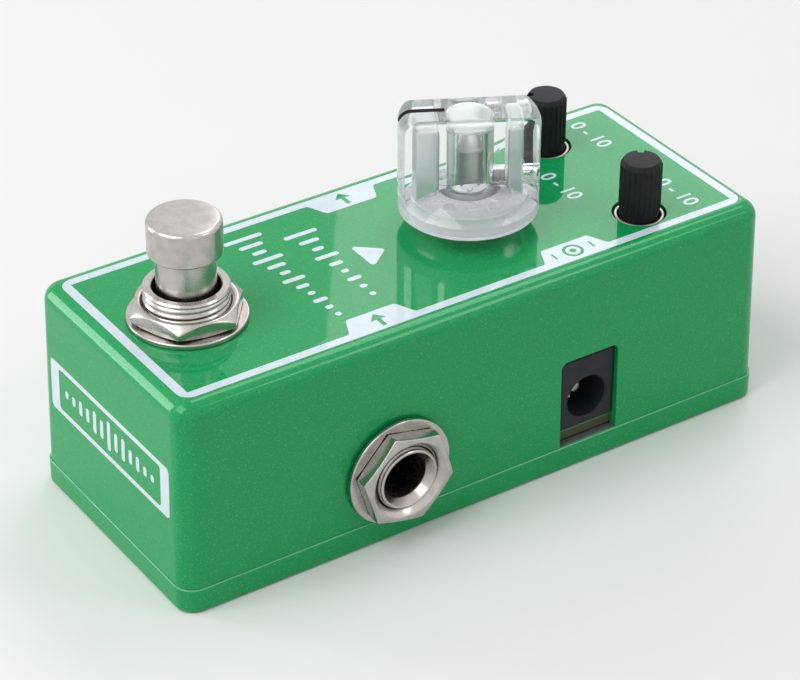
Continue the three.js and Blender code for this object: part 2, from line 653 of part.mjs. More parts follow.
function knobLed() {
  const { lensRadius, lensTop, flangeRadius, flangeHeight, bodyHeight, leadRadius, leadSpacing } = led;
  const bottom = lensTop - bodyHeight;
  const flangeTop = bottom + flangeHeight;
  const dome = [];
  for (let i = 0; i < arcSteps; i += 1) {
    const angle = i / arcSteps * Math.PI / 2;
    dome.push([lensRadius * Math.cos(angle), lensTop - lensRadius + lensRadius * Math.sin(angle)]);
  }
  const lens = turned([
    [0, bottom], [flangeRadius, bottom], [flangeRadius, flangeTop], [lensRadius, flangeTop], ...dome,
    [0, lensTop],
  ], smallSides);
  const leadBottom = controlTop + seatGap - panelTop;
  const lead = rod(leadRadius, bottom - leadBottom + flangeHeight / 2, leadBottom, smallSides);
  return join(lens, ...[-1, 1].map((side) => moved(lead, side * leadSpacing / 2, 0)));
}

// Jack pieces. Their own Z axis is the plug's, from the middle of the case outwards.
const washerBack = shell.width / 2 + seatGap;
const jackNutBack = washerBack + jack.washerThickness + seatGap;
const jackNutFront = jackNutBack + jack.nutHeight;

function jackBushing() {
  const front = jackNutFront - jack.rimBack;
  const { threadRadius, bore, rimBevel, funnel, funnelDepth, spigotRadius, spigotLength } = jack;
  const back = jackFront - spigotLength;
  const shoulder = jackFront + seatGap;
  return turnedRing([
    [bore, back], [spigotRadius, back], [spigotRadius, shoulder], [threadRadius, shoulder],
    [threadRadius, front - rimBevel], [threadRadius - rimBevel, front], [bore + funnel, front],
    [bore, front - funnelDepth],
  ]);
}

function jackNut() {
  const hole = jack.threadRadius + holeGap;
  const { nutAcrossFlats, nutHeight, nutFaceBevel, nutTurn, nutCountersink: depth } = jack;
  const plain = nut(nutAcrossFlats, nutHeight, nutFaceBevel, hole, jackNutBack, nutTurn);
  const sink = cone(hole, hole + 2 * depth, 2 * depth, jackNutFront - depth);
  return cut(plain, sink);
}

function jackBody(up) {
  const { bodyLength, bodyWidth, bodyAbove, bore, backWall, spigotRadius, spigotLength } = jack;
  const below = jack.height - board.mainTop - seatGap;
  const back = jackFront - bodyLength;
  const tall = below + bodyAbove;
  const shape = block(tall, bodyWidth, bodyLength, back).translate(up * (bodyAbove - below) / 2, 0, 0);
  const { slotNear, slotFar, slotWidth } = jackContact;
  const slot = block(bodyAbove + overrun, slotWidth, slotFar - slotNear, slotNear)
    .translate(up * (bodyAbove + overrun) / 2, 0, 0);
  return cut(
    shape,
    rod(bore, bodyLength - backWall + overrun, back + backWall),
    rod(spigotRadius + holeGap, spigotLength + seatGap + overrun, jackFront - spigotLength - seatGap),
    slot,
  );
}

// The tip contact: a leaf that dips to the bore and rises again, anchored at the top of its slot.
function jackTipContact(up) {
  const { width, thickness, anchor, dip, lip, anchorRise, dipRise, lipRise } = jackContact;
  const outline = new THREE.Shape();
  outline.moveTo(up * anchorRise, anchor);
  outline.lineTo(up * dipRise, dip);
  outline.lineTo(up * lipRise, lip);
  outline.lineTo(up * (lipRise + thickness), lip);
  outline.lineTo(up * (dipRise + 2 * thickness), dip);
  outline.lineTo(up * anchorRise, anchor + 2 * thickness);
  const leaf = new THREE.ExtrudeGeometry(outline, { depth: width, bevelEnabled: false });
  return geometryOf(solidOf(leaf.translate(0, 0, -width / 2).rotateX(Math.PI / 2)));
}

function jackAssembly(name, side, y) {
  const group = assembly(
    0, y, jack.height,
    part(`${name}_jack_washer`, tube(
      jack.washerRadius, jack.threadRadius + holeGap, jack.washerThickness, washerBack, fineSides), nickel),
    part(`${name}_jack_nut`, jackNut(), nickel),
    part(`${name}_jack_bushing`, jackBushing(), nickel),
    part(`${name}_jack_body`, jackBody(-side), blackPlastic),
    part(`${name}_jack_tip_contact`, jackTipContact(-side), brass),
  );
  group.rotation.y = side * Math.PI / 2;
  return group;
}

// Power socket pieces. Their own zero height is the underside of the pedal.
const socketFace = sideAt(powerSocket.holeHeight) - powerSocket.recess;
const socketBack = socketFace - powerSocket.length;

function alongX(geometry, height) {
  return geometry.rotateY(Math.PI / 2).translate(0, 0, height);
}

function socketBody() {
  const { width, height, length, holeRadius, holeHeight, holeDepth, pinRadius } = powerSocket;
  const whole = block(length, width, height, board.mainTop + seatGap);
  const body = moved(whole, socketFace - length / 2, 0);
  const slot = block(
    sleeveContact.slotLength, 2 * (sleeveContact.thickness + holeGap), sleeveContact.width + 2 * holeGap,
    holeHeight + sleeveContact.bottom - holeGap,
  ).translate(
    socketFace - sleeveContact.back + overrun / 2 - sleeveContact.slotLength / 2,
    -sleeveContact.inset - sleeveContact.thickness / 2, 0);
  return cut(
    body,
    alongX(rod(holeRadius, holeDepth + overrun, socketFace - holeDepth), holeHeight),
    alongX(rod(pinRadius + holeGap, length, socketBack - overrun, smallSides), holeHeight),
    slot,
  );
}

function centrePin() {
  const { pinRadius, pinBack, holeHeight } = powerSocket;
  const front = socketFace - pinBack;
  return alongX(turned([
    [0, socketBack], [pinRadius, socketBack], [pinRadius, front - pinRadius / 2],
    [pinRadius / 2, front], [0, front],
  ], smallSides), holeHeight);
}

function socketSleeveContact() {
  const { width, thickness, inset, bottom, back, slotLength } = sleeveContact;
  const length = slotLength - 2 * seatGap - overrun;
  return block(length, thickness, width, powerSocket.holeHeight + bottom)
    .translate(socketFace - back - seatGap - length / 2, -inset, 0);
}

// Boards, and the parts soldered to them.
function mainBoard() {
  const { thickness, tabGap } = board;
  const length = mainBack - mainFront;
  const sheet = block(2 * mainHalfWidth, length, thickness, boardBottom);
  const tabLength = socketFace - tabGap;
  const tab = block(tabLength, powerSocket.width, thickness, boardBottom);
  return join(
    moved(sheet, 0, (mainFront + mainBack) / 2),
    moved(tab, tabLength / 2, powerSocket.y),
  );
}

function dialBoard() {
  const { front } = controlBoard;
  const { thickness } = board;
  const sheet = block(2 * controlHalfWidth, controlBack - front, thickness, controlTop - thickness);
  return sheet.translate(0, (front + controlBack) / 2, 0);
}

function boardHeader() {
  const bottom = board.mainTop + seatGap;
  const top = controlTop - board.thickness - seatGap;
  const pieces = [
    block(header.width, header.length, top - bottom - header.stripHeight - header.bare, bottom),
    block(header.width, header.length, header.stripHeight, top - header.stripHeight),
  ];
  const pinBottom = top - header.stripHeight - header.bare - overrun;
  const pin = block(headerPin.width, headerPin.width, top - pinBottom, pinBottom);
  for (let i = 0; i < header.pins; i += 1) {
    pieces.push(moved(pin, 0, (i - (header.pins - 1) / 2) * headerPin.spacing));
  }
  return join(...pieces);
}

// A chip in a dual in-line case, along X, with its legs at both sides.
function dualInLineChip(legs) {
  const length = legs * chip.legSpacing;
  const bottom = board.mainTop + seatGap;
  const legRise = chip.stand + chip.height / 2;
  const pieces = [block(length, chip.width, chip.height, bottom + chip.stand)];
  for (let i = 0; i < legs; i += 1) {
    const x = (i - (legs - 1) / 2) * chip.legSpacing;
    const leg = block(chip.legWidth, chip.legSpan, chip.legThickness, bottom + legRise);
    const foot = block(chip.legWidth, chip.legThickness, legRise, bottom);
    pieces.push(moved(leg, x, 0));
    for (const side of [-1, 1]) {
      pieces.push(moved(foot, x, side * (chip.legSpan - chip.legThickness) / 2));
    }
  }
  return join(...pieces);
}

function filterCapacitor() {
  const { radius, height, groove, grooveAt } = capacitor;
  return turned([
    [0, 0], [radius, 0], [radius, grooveAt - groove], [radius - groove, grooveAt],
    [radius, grooveAt + groove], [radius, height - groove], [radius - groove, height], [0, height],
  ], smallSides);
}

// The flat lead from the switch lugs down to its connector: a strip that bends once.
function switchRibbon() {
  const lugBottom = panelTop + housingTop - switchHousing.height - switchLug.below;
  const startY = switchY + switchLug.spacing / 2 + switchLug.thickness / 2 + holeGap;
  const startZ = lugBottom + switchLug.below * ribbon.startShare;
  const endZ = board.mainTop + connector.height + 2 * seatGap;
  const { thickness, width, bendShare } = ribbon;
  const bend = (startZ - endZ) * bendShare;
  const outline = new THREE.Shape();
  outline.moveTo(startY, startZ);
  outline.lineTo(connectorY - thickness / 2 - bend, startZ);
  outline.lineTo(connectorY - thickness / 2, startZ - bend);
  outline.lineTo(connectorY - thickness / 2, endZ);
  outline.lineTo(connectorY + thickness / 2, endZ);
  outline.lineTo(connectorY + thickness / 2, startZ - bend + thickness / 2);
  outline.lineTo(connectorY - thickness / 2 - bend + thickness / 2, startZ + thickness);
  outline.lineTo(startY, startZ + thickness);
  const strip = new THREE.ExtrudeGeometry(outline, { depth: width, bevelEnabled: false });
  return strip.rotateX(Math.PI / 2).rotateZ(Math.PI / 2).translate(-width / 2, 0, 0);
}

function boardsAssembly() {
  const onMain = board.mainTop + seatGap;
  const socketForLead = block(connector.width, connector.length, connector.height, onMain);
  const pieces = [
    part('main_board', mainBoard(), boardGreen),
    part('control_board', dialBoard(), boardGreen),
    part('board_header', boardHeader(), blackPlastic, headerX, headerY),
    part('delay_chip', dualInLineChip(delayChip.legs), blackPlastic, delayChip.x, delayChip.y),
    part('amplifier_chip', dualInLineChip(ampChip.legs), blackPlastic, ampChip.x, ampChip.y),
    part('switch_connector', socketForLead, creamPlastic, 0, connectorY),
    part('switch_cable', switchRibbon(), ribbonGrey),
    part('knob_led', knobLed(), clearAcrylic, 0, led.y, panelTop),
  ];
  for (let i = 0; i < capacitor.count; i += 1) {
    const x = capacitor.firstX + i * capacitor.spacing;
    pieces.push(part(`filter_capacitor_${i + 1}`, filterCapacitor(), greyPlastic, x, capacitorY, onMain));
  }
  return assembly(0, 0, 0, ...pieces);
}

const group = new THREE.Group();
group.add(
  part('enclosure', enclosure(), greenPaint),
  part('base_plate', basePlate(), greenPaint),
  ...[[1, 1], [-1, 1], [-1, -1], [1, -1]].map(([x, y], i) => part(
    `base_screw_${i + 1}`, baseScrew(), satinSteel, x * screwX, y * screwY)),
  footswitchAssembly(),
  timeAssembly(),
  slimAssembly('level', -1, slimDial.levelTurn),
  slimAssembly('repeat', 1, slimDial.repeatTurn),
  jackAssembly('input', 1, jack.inputY),
  jackAssembly('output', -1, jack.outputY),
  assembly(
    0, powerSocket.y, 0,
    part('power_socket_body', socketBody(), greyPlastic),
    part('power_socket_centre_pin', centrePin(), nickel),
    part('power_socket_sleeve_contact', socketSleeveContact(), nickel),
  ),
  boardsAssembly(),
);

export default group;
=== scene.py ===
"""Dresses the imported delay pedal: painted case, plated hardware, clear knob, dials, sockets and prints.

Sizes are millimetres in the pedal's own frame: +X to the player's right, +Y away from the player, +Z up,
with the origin in the middle of the underside. They become metres when a mesh is made.
"""

import functools
import json
import logging
import math
from collections.abc import Callable, Iterable, Mapping, Sequence
from dataclasses import dataclass
from enum import Enum
from typing import Any

import bpy
import numpy as np
from mathutils import Matrix, Vector


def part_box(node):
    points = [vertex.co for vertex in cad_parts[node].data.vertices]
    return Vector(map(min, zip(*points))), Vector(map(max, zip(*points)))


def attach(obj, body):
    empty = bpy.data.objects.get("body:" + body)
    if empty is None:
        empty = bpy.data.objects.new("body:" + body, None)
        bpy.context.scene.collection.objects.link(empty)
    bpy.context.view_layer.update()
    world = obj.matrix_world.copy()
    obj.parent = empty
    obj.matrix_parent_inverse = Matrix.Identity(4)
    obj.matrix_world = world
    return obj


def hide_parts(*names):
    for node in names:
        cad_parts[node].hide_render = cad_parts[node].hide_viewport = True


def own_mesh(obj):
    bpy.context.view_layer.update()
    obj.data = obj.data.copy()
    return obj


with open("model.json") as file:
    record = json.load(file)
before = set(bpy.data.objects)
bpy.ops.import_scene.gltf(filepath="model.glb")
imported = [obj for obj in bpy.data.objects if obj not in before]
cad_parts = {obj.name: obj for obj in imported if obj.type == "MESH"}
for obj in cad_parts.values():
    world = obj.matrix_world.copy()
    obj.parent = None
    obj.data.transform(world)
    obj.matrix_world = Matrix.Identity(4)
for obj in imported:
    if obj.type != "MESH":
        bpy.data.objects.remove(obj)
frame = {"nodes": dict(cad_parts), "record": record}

log = logging.getLogger("pedal")
Array = np.ndarray
Colour = tuple[float, float, float]
Corners = Sequence[tuple[float, float, float]]
Profile = Sequence[tuple[float, float]]
Material = bpy.types.Material
Piece = bpy.types.Object

MM = 0.001
FULL_TURN = 2 * math.pi
# How far a cutting shape reaches past the face that it cuts.
CUT_PAST = 1.0
# Facets round a full turn: usual, on the large plated pieces, and on small ones.
SMOOTH_SIDES, PLATED_SIDES, SMALL_SIDES = 96, 128, 48
# Edges sharper than this stay sharp.
CREASE = math.radians(32)
# The angle of the clear knob's bar at rest, in degrees from +X.
KNOB_TURN = 62.0
# The height of the grub screw's middle over the panel.
GRUB_SCREW_HEIGHT = 7.75
# How deep the panel's holes are cut, and the radius of the one over the light.
PANEL_CUT, LIGHT_HOLE = 3.5, 1.6


class Body(str, Enum):
    """The bodies that pieces ride on."""

    PEDAL = "pedal"
    PLUNGER = "footswitch_plunger"
    TIME = "time_dial"
    LEVEL = "level_dial"
    REPEAT = "repeat_dial"


class Slot(str, Enum):
    """The record's material slots."""

    PAINT = "green_paint"
    NICKEL = "nickel"
    STEEL = "steel"
    ZINC = "zinc"
    BRASS = "brass"
    CLEAR = "clear_plastic"
    BLACK = "black_plastic"
    GREY = "grey_plastic"
    BLUE = "blue_plastic"
    CREAM = "cream_plastic"
    BOARD = "board"
    TRACK = "track"
    CABLE = "cable"


@dataclass(frozen=True)
class Space:
    """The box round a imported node.

    Attributes:
        low: Its lowest corner.
        high: Its highest corner.
        middle: Its middle.
        half: Half its width, length and height.
    """

    low: Array
    high: Array
    middle: Array
    half: Array


def reach(node: str) -> Space:
    """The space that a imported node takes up.

    Args:
        node: The node's name.

    Returns:
        The box round it.
    """
    low, high = (np.array(corner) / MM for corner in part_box(node))
    return Space(low, high, (low + high) / 2, (high - low) / 2)


def panel_height() -> float:
    """The height of the case's top panel."""
    return reach("enclosure").high[2]


# Shapes.


def softened(corners: Corners, steps: int = 5, closed: bool = False) -> Array:
    """A profile whose corners are rounded.

    At each corner the arc's centre lies on the bisector, at radius / sin(half the corner's angle), and the
    arc's points swing evenly from one side's tangent point to the other's.

    Args:
        corners: (across, along, radius) for each corner, where a radius of 0 leaves it sharp.
        steps: Stretches in each arc.
        closed: Whether the last corner joins the first.

    Returns:
        An array of points, two numbers each.
    """
    places = np.array([corner[:2] for corner in corners], float)
    count = len(places)
    found: list[Array] = []
    for index, (_, _, radius) in enumerate(corners):
        here = places[index]
        if radius <= 0 or (not closed and index in (0, count - 1)):
            found.append(here[None])
            continue
        before = places[index - 1] - here
        after = places[(index + 1) % count] - here
        before, after = before / np.linalg.norm(before), after / np.linalg.norm(after)
        half = math.acos(float(np.clip(before @ after, -1, 1))) / 2
        centre = here + (before + after) / np.linalg.norm(before + after) * radius / math.sin(half)
        start = here + before * radius / math.tan(half) - centre
        end = here + after * radius / math.tan(half) - centre
        swing = math.pi - 2 * half
        share = np.linspace(0, 1, steps + 1)[:, None]
        arc = (np.sin((1 - share) * swing) * start + np.sin(share * swing) * end) / math.sin(swing)
        found.append(centre + arc)
    return np.concatenate(found)


def rounded_outline(half_x: float, half_y: float, radius: float, steps: int = 10) -> Array:
    """A rectangle with round corners, anticlockwise.

    Args:
        half_x: Half its width.
        half_y: Half its length.
        radius: The corner radius.
        steps: Stretches in each corner.

    Returns:
        An array of points, two numbers each.
    """
    quarter = np.linspace(0, math.pi / 2, steps + 1)
    angle = (quarter[None, :] + np.arange(4)[:, None] * math.pi / 2).ravel()
    signs = np.repeat(np.array([[1, 1], [-1, 1], [-1, -1], [1, -1]]), steps + 1, axis=0)
    centre = signs * np.array([half_x - radius, half_y - radius])
    return centre + radius * np.stack([np.cos(angle), np.sin(angle)], axis=-1)


def level(outline: Array, height: float) -> Array:
    """An outline laid at a height, three numbers a point."""
    return np.column_stack([outline, np.full(len(outline), height)])


def circle(sides: int) -> Array:
    """Even angles round a full turn."""
    return np.arange(sides) * FULL_TURN / sides


def around(radius: Array, rise: Array, angle: Array) -> Array:
    """Points round the Z axis: radius times the angle's cosine, radius times its sine, and the rise.

    Args:
        radius: Distances from the axis.
        rise: Heights.
        angle: Angles from +X. All three are stretched to one common grid.

    Returns:
        The grid, with three numbers for each point.
    """
    flat = np.broadcast_arrays(radius * np.cos(angle), radius * np.sin(angle), rise)
    return np.stack(flat, axis=-1)


def linked(name: str, data: bpy.types.ID) -> Piece:
    """A new object in the scene round a mesh, a curve, a lamp or a camera.

    Args:
        name: Its name.
        data: What it shows.

    Returns:
        The object.
    """
    made = bpy.data.objects.new(name, data)
    bpy.context.scene.collection.objects.link(made)
    return made


@dataclass
class Shape:
    """A closed surface.

    Attributes:
        points: One row of three numbers for each point.
        faces: The points of each face, anticlockwise seen from outside.
    """

    points: Array
    faces: list[list[int]]

    @classmethod
    def rings(cls, grid: Array, closed: bool = False) -> "Shape":
        """A surface through rings of points, from the lowest ring to the highest.

        Args:
            grid: Points in an array of rings by sides by three.
            closed: Whether the last ring joins the first. If not, flat ends close it.

        Returns:
            The surface.
        """
        count, sides = grid.shape[:2]
        ring = np.arange(count if closed else count - 1)[:, None]
        side = np.arange(sides)[None, :]
        after, above = (side + 1) % sides, (ring + 1) % count
        quads = [ring * sides + side, ring * sides + after, above * sides + after, above * sides + side]
        faces = np.stack(quads, axis=-1).reshape(-1, 4).tolist()
        if not closed:
            faces.append(list(range(sides))[::-1])
            faces.append(list(range((count - 1) * sides, count * sides)))
        return cls(grid.reshape(-1, 3), faces)

    @classmethod
    def turned(cls, profile: Array, sides: int = SMOOTH_SIDES, closed: bool = False) -> "Shape":
        """A profile of (radius, height) carried round the Z axis.

        Args:
            profile: The profile's points, outwards and then up.
            sides: Facets round a full turn.
            closed: Whether the profile is a loop that stays off the axis.

        Returns:
            The turned surface.
        """
        return cls.rings(around(profile[:, 0, None], profile[:, 1, None], circle(sides)), closed)

    @classmethod
    def soft(cls, corners: Corners, sides: int = SMOOTH_SIDES, steps: int = 5) -> "Shape":
        """A solid turned from a profile with rounded corners.

        Args:
            corners: (radius, height, rounding) for each corner, upwards.
            sides: Facets round a full turn.
            steps: Stretches in each rounding.

        Returns:
            The solid.
        """
        return cls.turned(softened(corners, steps), sides)

    @classmethod
    def rod(cls, radius: float, bottom: float, top: float, sides: int = SMOOTH_SIDES) -> "Shape":
        """A plain round rod along Z."""
        return cls.turned(np.array([(radius, bottom), (radius, top)]), sides)

    @classmethod
    def tube(
        cls, inner: float, outer: float, bottom: float, top: float, edges: Sequence[float],
        sides: int = SMOOTH_SIDES, steps: int = 4,
    ) -> "Shape":
        """A tube or a washer along Z.

        Args:
            inner: The radius of its hole.
            outer: Its radius.
            bottom: The height of its underside.
            top: The height of its top.
            edges: The roundings of its edges: inner and outer below, outer and inner above.
            sides: Facets round a full turn.
            steps: Stretches in each rounding.

        Returns:
            The tube.
        """
        places = ((inner, bottom), (outer, bottom), (outer, top), (inner, top))
        corners = [(*place, edge) for place, edge in zip(places, edges)]
        return cls.turned(softened(corners, steps, True), sides, closed=True)

    @classmethod
    def block(
        cls, half_x: float, half_y: float, bottom: float, top: float, corner: float, edge: float = 0.0
    ) -> "Shape":
        """A box with round upright corners and, if asked, round top and bottom edges.

        Args:
            half_x: Half its width.
            half_y: Half its length.
            bottom: The height of its underside.
            top: The height of its top.
            corner: The radius of its upright corners.
            edge: The radius of its top and bottom edges, smaller than the corner's.

        Returns:
            The box.
        """
        deep = edge * 1.5
        profile = softened([(deep, bottom, 0), (0, bottom, edge), (0, top, edge), (deep, top, 0)])
        return cls.rings(np.stack([
            level(rounded_outline(half_x - inset, half_y - inset, max(corner - inset, edge / 10)), height)
            for inset, height in profile]))

    def moved(self, x: float = 0.0, y: float = 0.0, z: float = 0.0) -> "Shape":
        """The same shape somewhere else."""
        return Shape(self.points + np.array([x, y, z]), self.faces)

    def spun(self, degrees: float, axis: str = "Z") -> "Shape":
        """The same shape, turned about one axis through the origin."""
        turn = np.array(Matrix.Rotation(math.radians(degrees), 3, axis))
        return Shape(self.points @ turn.T, self.faces)

    def object(self, name: str) -> Piece:
        """A Blender object with this shape, in metres, in the scene.

        Args:
            name: Its name.

        Returns:
            The object.
        """
        mesh = bpy.data.meshes.new(name)
        mesh.from_pydata((self.points * MM).tolist(), [], self.faces)
        return linked(name, mesh)


@dataclass(frozen=True)
class Thread:
    """A screw thread along Z.

    Attributes:
        radius: The radius of its ridge.
        depth: The depth of its groove.
        pitch: How far it climbs in one turn.
        run_out: The length over which the groove ends at the top.
    """

    radius: float
    depth: float
    pitch: float
    run_out: float = 0.0

    def shape(
        self, foot: Profile, along: Array, head: Profile, sides: int = SMOOTH_SIDES, closed: bool = True
    ) -> Shape:
        """The thread between two plain profiles.

        Its radius falls by the groove's depth as a cosine of height over pitch less the angle over a full
        turn, so that the ridge climbs as a real thread does.

        Args:
            foot: (radius, height) of the plain rings before it.
            along: The heights of its own rings.
            head: (radius, height) of the plain rings after it.
            sides: Facets round a full turn.
            closed: Whether the last ring joins the first.

        Returns:
            The threaded shape.
        """
        angle, height = circle(sides), along[:, None]
        wave = 0.5 - 0.5 * np.cos(FULL_TURN * (height / self.pitch - angle / FULL_TURN))
        if self.run_out:
            wave = wave * np.clip((along[-1] - height) / self.run_out, 0, 1)
        ridge = np.stack(np.broadcast_arrays(self.radius - self.depth * wave, height), axis=1)
        below, above = (np.array(rows)[:, :, None] + np.zeros(sides) for rows in (foot, head))
        radius, rise = np.concatenate([below, ridge, above]).swapaxes(0, 1)
        return Shape.rings(around(radius, rise, angle), closed)


@dataclass(frozen=True)
class Nut:
    """A hexagon nut.

    Attributes:
        flats: Its width across flats.
        chamfer: How far the cone drops from the top face to the corners.
        hole: The radius of its hole.
        sink: The countersink at the top of the hole.
        turn: The angle of one corner from +X, in degrees.
        facets: Facets on each flat.
        face: The part of the half width that the flat faces take up.
    """

    flats: float
    chamfer: float
    hole: float
    sink: float
    turn: float
    facets: int = 24
    face: float = 0.97

    def shape(self, bottom: float, top: float) -> Shape:
        """The nut. Its side's radius at an angle is the half width over the cosine of the angle from the
        nearest flat's middle. Its upper edge is where the sides meet a cone that starts inside the flats.

        Args:
            bottom: The height of its seat.
            top: The height of its top face.

        Returns:
            The nut's shape.
        """
        sixth = FULL_TURN / 6
        from_corner = circle(self.facets * 6)
        half = self.flats / 2
        outer = half / np.cos(from_corner % sixth - sixth / 2)
        inner = half * self.face
        slope = self.chamfer / (half / math.cos(sixth / 2) - inner)
        lower = bottom + (outer - inner) * slope * 0.5
        upper = top - (outer - inner) * slope
        flat = np.zeros(len(outer))
        radius = np.stack([
            flat + self.hole, flat + inner, outer, outer, flat + inner, flat + self.hole + self.sink,
            flat + self.hole])
        rise = np.stack([
            flat + bottom, flat + bottom, lower, upper, flat + top, flat + top, flat + top - self.sink])
        return Shape.rings(around(radius, rise, from_corner + math.radians(self.turn)), closed=True)


def settle(piece: Piece) -> None:
    """Puts the result of a piece's modifiers into its mesh and removes them.

    Args:
        piece: The piece to change.
    """
    bpy.context.view_layer.update()
    ready = piece.evaluated_get(bpy.context.evaluated_depsgraph_get())
    mesh = bpy.data.meshes.new_from_object(ready)
    piece.modifiers.clear()
    piece.data = mesh


def combine(piece: Piece, operation: str, others: Iterable[Shape | Piece]) -> None:
    """Cuts shapes from a piece, joins them to it or keeps what they share.

    Args:
        piece: The piece to change.
        operation: DIFFERENCE, UNION or INTERSECT.
        others: The other shapes, one operation each, which are used up.
    """
    tools = [other.object("tool") if isinstance(other, Shape) else other for other in others]
    for tool in tools:
        change = piece.modifiers.new("Combine", "BOOLEAN")
        change.operation = operation
        change.solver = "EXACT"
        change.object = tool
    settle(piece)
    for tool in tools:
        bpy.data.objects.remove(tool)


def set_down(piece: Piece, turn: float, place: Sequence[float]) -> None:
    """Turns a mesh about the Z axis and moves it.

    Args:
        piece: The mesh's object, which stays at the origin.
        turn: The angle in degrees.
        place: Where the origin of the mesh goes.
    """
    piece.data.transform(Matrix.Rotation(math.radians(turn), 4, "Z"))
    piece.data.transform(Matrix.Translation(Vector(place) * MM))


def present(
    piece: Piece, body: Body, slot: Slot, stands_for: Sequence[str] = (), edge: float = 0.0,
    material: Material | None = None,
) -> None:
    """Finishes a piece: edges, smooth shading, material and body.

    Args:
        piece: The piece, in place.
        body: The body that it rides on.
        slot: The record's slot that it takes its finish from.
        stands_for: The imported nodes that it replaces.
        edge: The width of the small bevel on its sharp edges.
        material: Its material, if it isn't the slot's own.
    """
    if edge > 0:
        bevel = piece.modifiers.new("Edges", "BEVEL")
        bevel.width = edge * MM
        bevel.segments = 3
        bevel.limit_method = "ANGLE"
        bevel.angle_limit = CREASE
        settle(piece)
    piece.data.shade_smooth()
    piece.data.set_sharp_from_angle(angle=CREASE)
    weight = piece.modifiers.new("Even", "WEIGHTED_NORMAL")
    weight.keep_sharp = True
    settle(piece)
    piece.data.materials.clear()
    piece.data.materials.append(material or slot_material(slot))
    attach(piece, body.value)
    if stands_for:
        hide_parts(*stands_for)
    log.info("%s: %d faces", piece.name, len(piece.data.polygons))


# Materials.


class Wire:
    """A socket in shader maths: an expression on wires adds its Math nodes."""

    def __init__(self, sheet: "Sheet", socket: bpy.types.NodeSocket) -> None:
        """Wraps a socket of a sheet."""
        self.sheet = sheet
        self.socket = socket

    def math(self, operation: str, *others: Any) -> "Wire":
        """A Math node on this wire and other wires or numbers."""
        inputs = dict(enumerate((self, *others)))
        return self.sheet.add("ShaderNodeMath", {"operation": operation}, inputs)["Value"]

    def __add__(self, other: Any) -> "Wire":
        """This plus other."""
        return self.math("ADD", other)

    __radd__ = __add__

    def __sub__(self, other: Any) -> "Wire":
        """This minus other."""
        return self.math("SUBTRACT", other)

    def __rsub__(self, other: Any) -> "Wire":
        """Other minus this."""
        return (self * -1) + other

    def __mul__(self, other: Any) -> "Wire":
        """This times other."""
        return self.math("MULTIPLY", other)

    __rmul__ = __mul__

    def __pow__(self, other: Any) -> "Wire":
        """This to the power of other."""
        return self.math("POWER", other)

    def __abs__(self) -> "Wire":
        """This without its sign."""
        return self.math("ABSOLUTE")

    def step(self, low: float, high: float) -> "Wire":
        """A smooth rise from 0 to 1, or a fall where low lies above high.

        Args:
            low: Where it is 0.
            high: Where it is 1.

        Returns:
            The step.
        """
        settings = {"interpolation_type": "SMOOTHSTEP"}
        inputs = {"Value": self, "From Min": low, "From Max": high}
        return self.sheet.add("ShaderNodeMapRange", settings, inputs)["Result"]


class Outputs:
    """The outputs of a node, by name or number."""

    def __init__(self, sheet: "Sheet", node: bpy.types.Node) -> None:
        """Wraps a node of a sheet."""
        self.sheet = sheet
        self.node = node

    def __getitem__(self, name: str | int) -> Wire:
        """The output with that name or number."""
        return Wire(self.sheet, self.node.outputs[name])


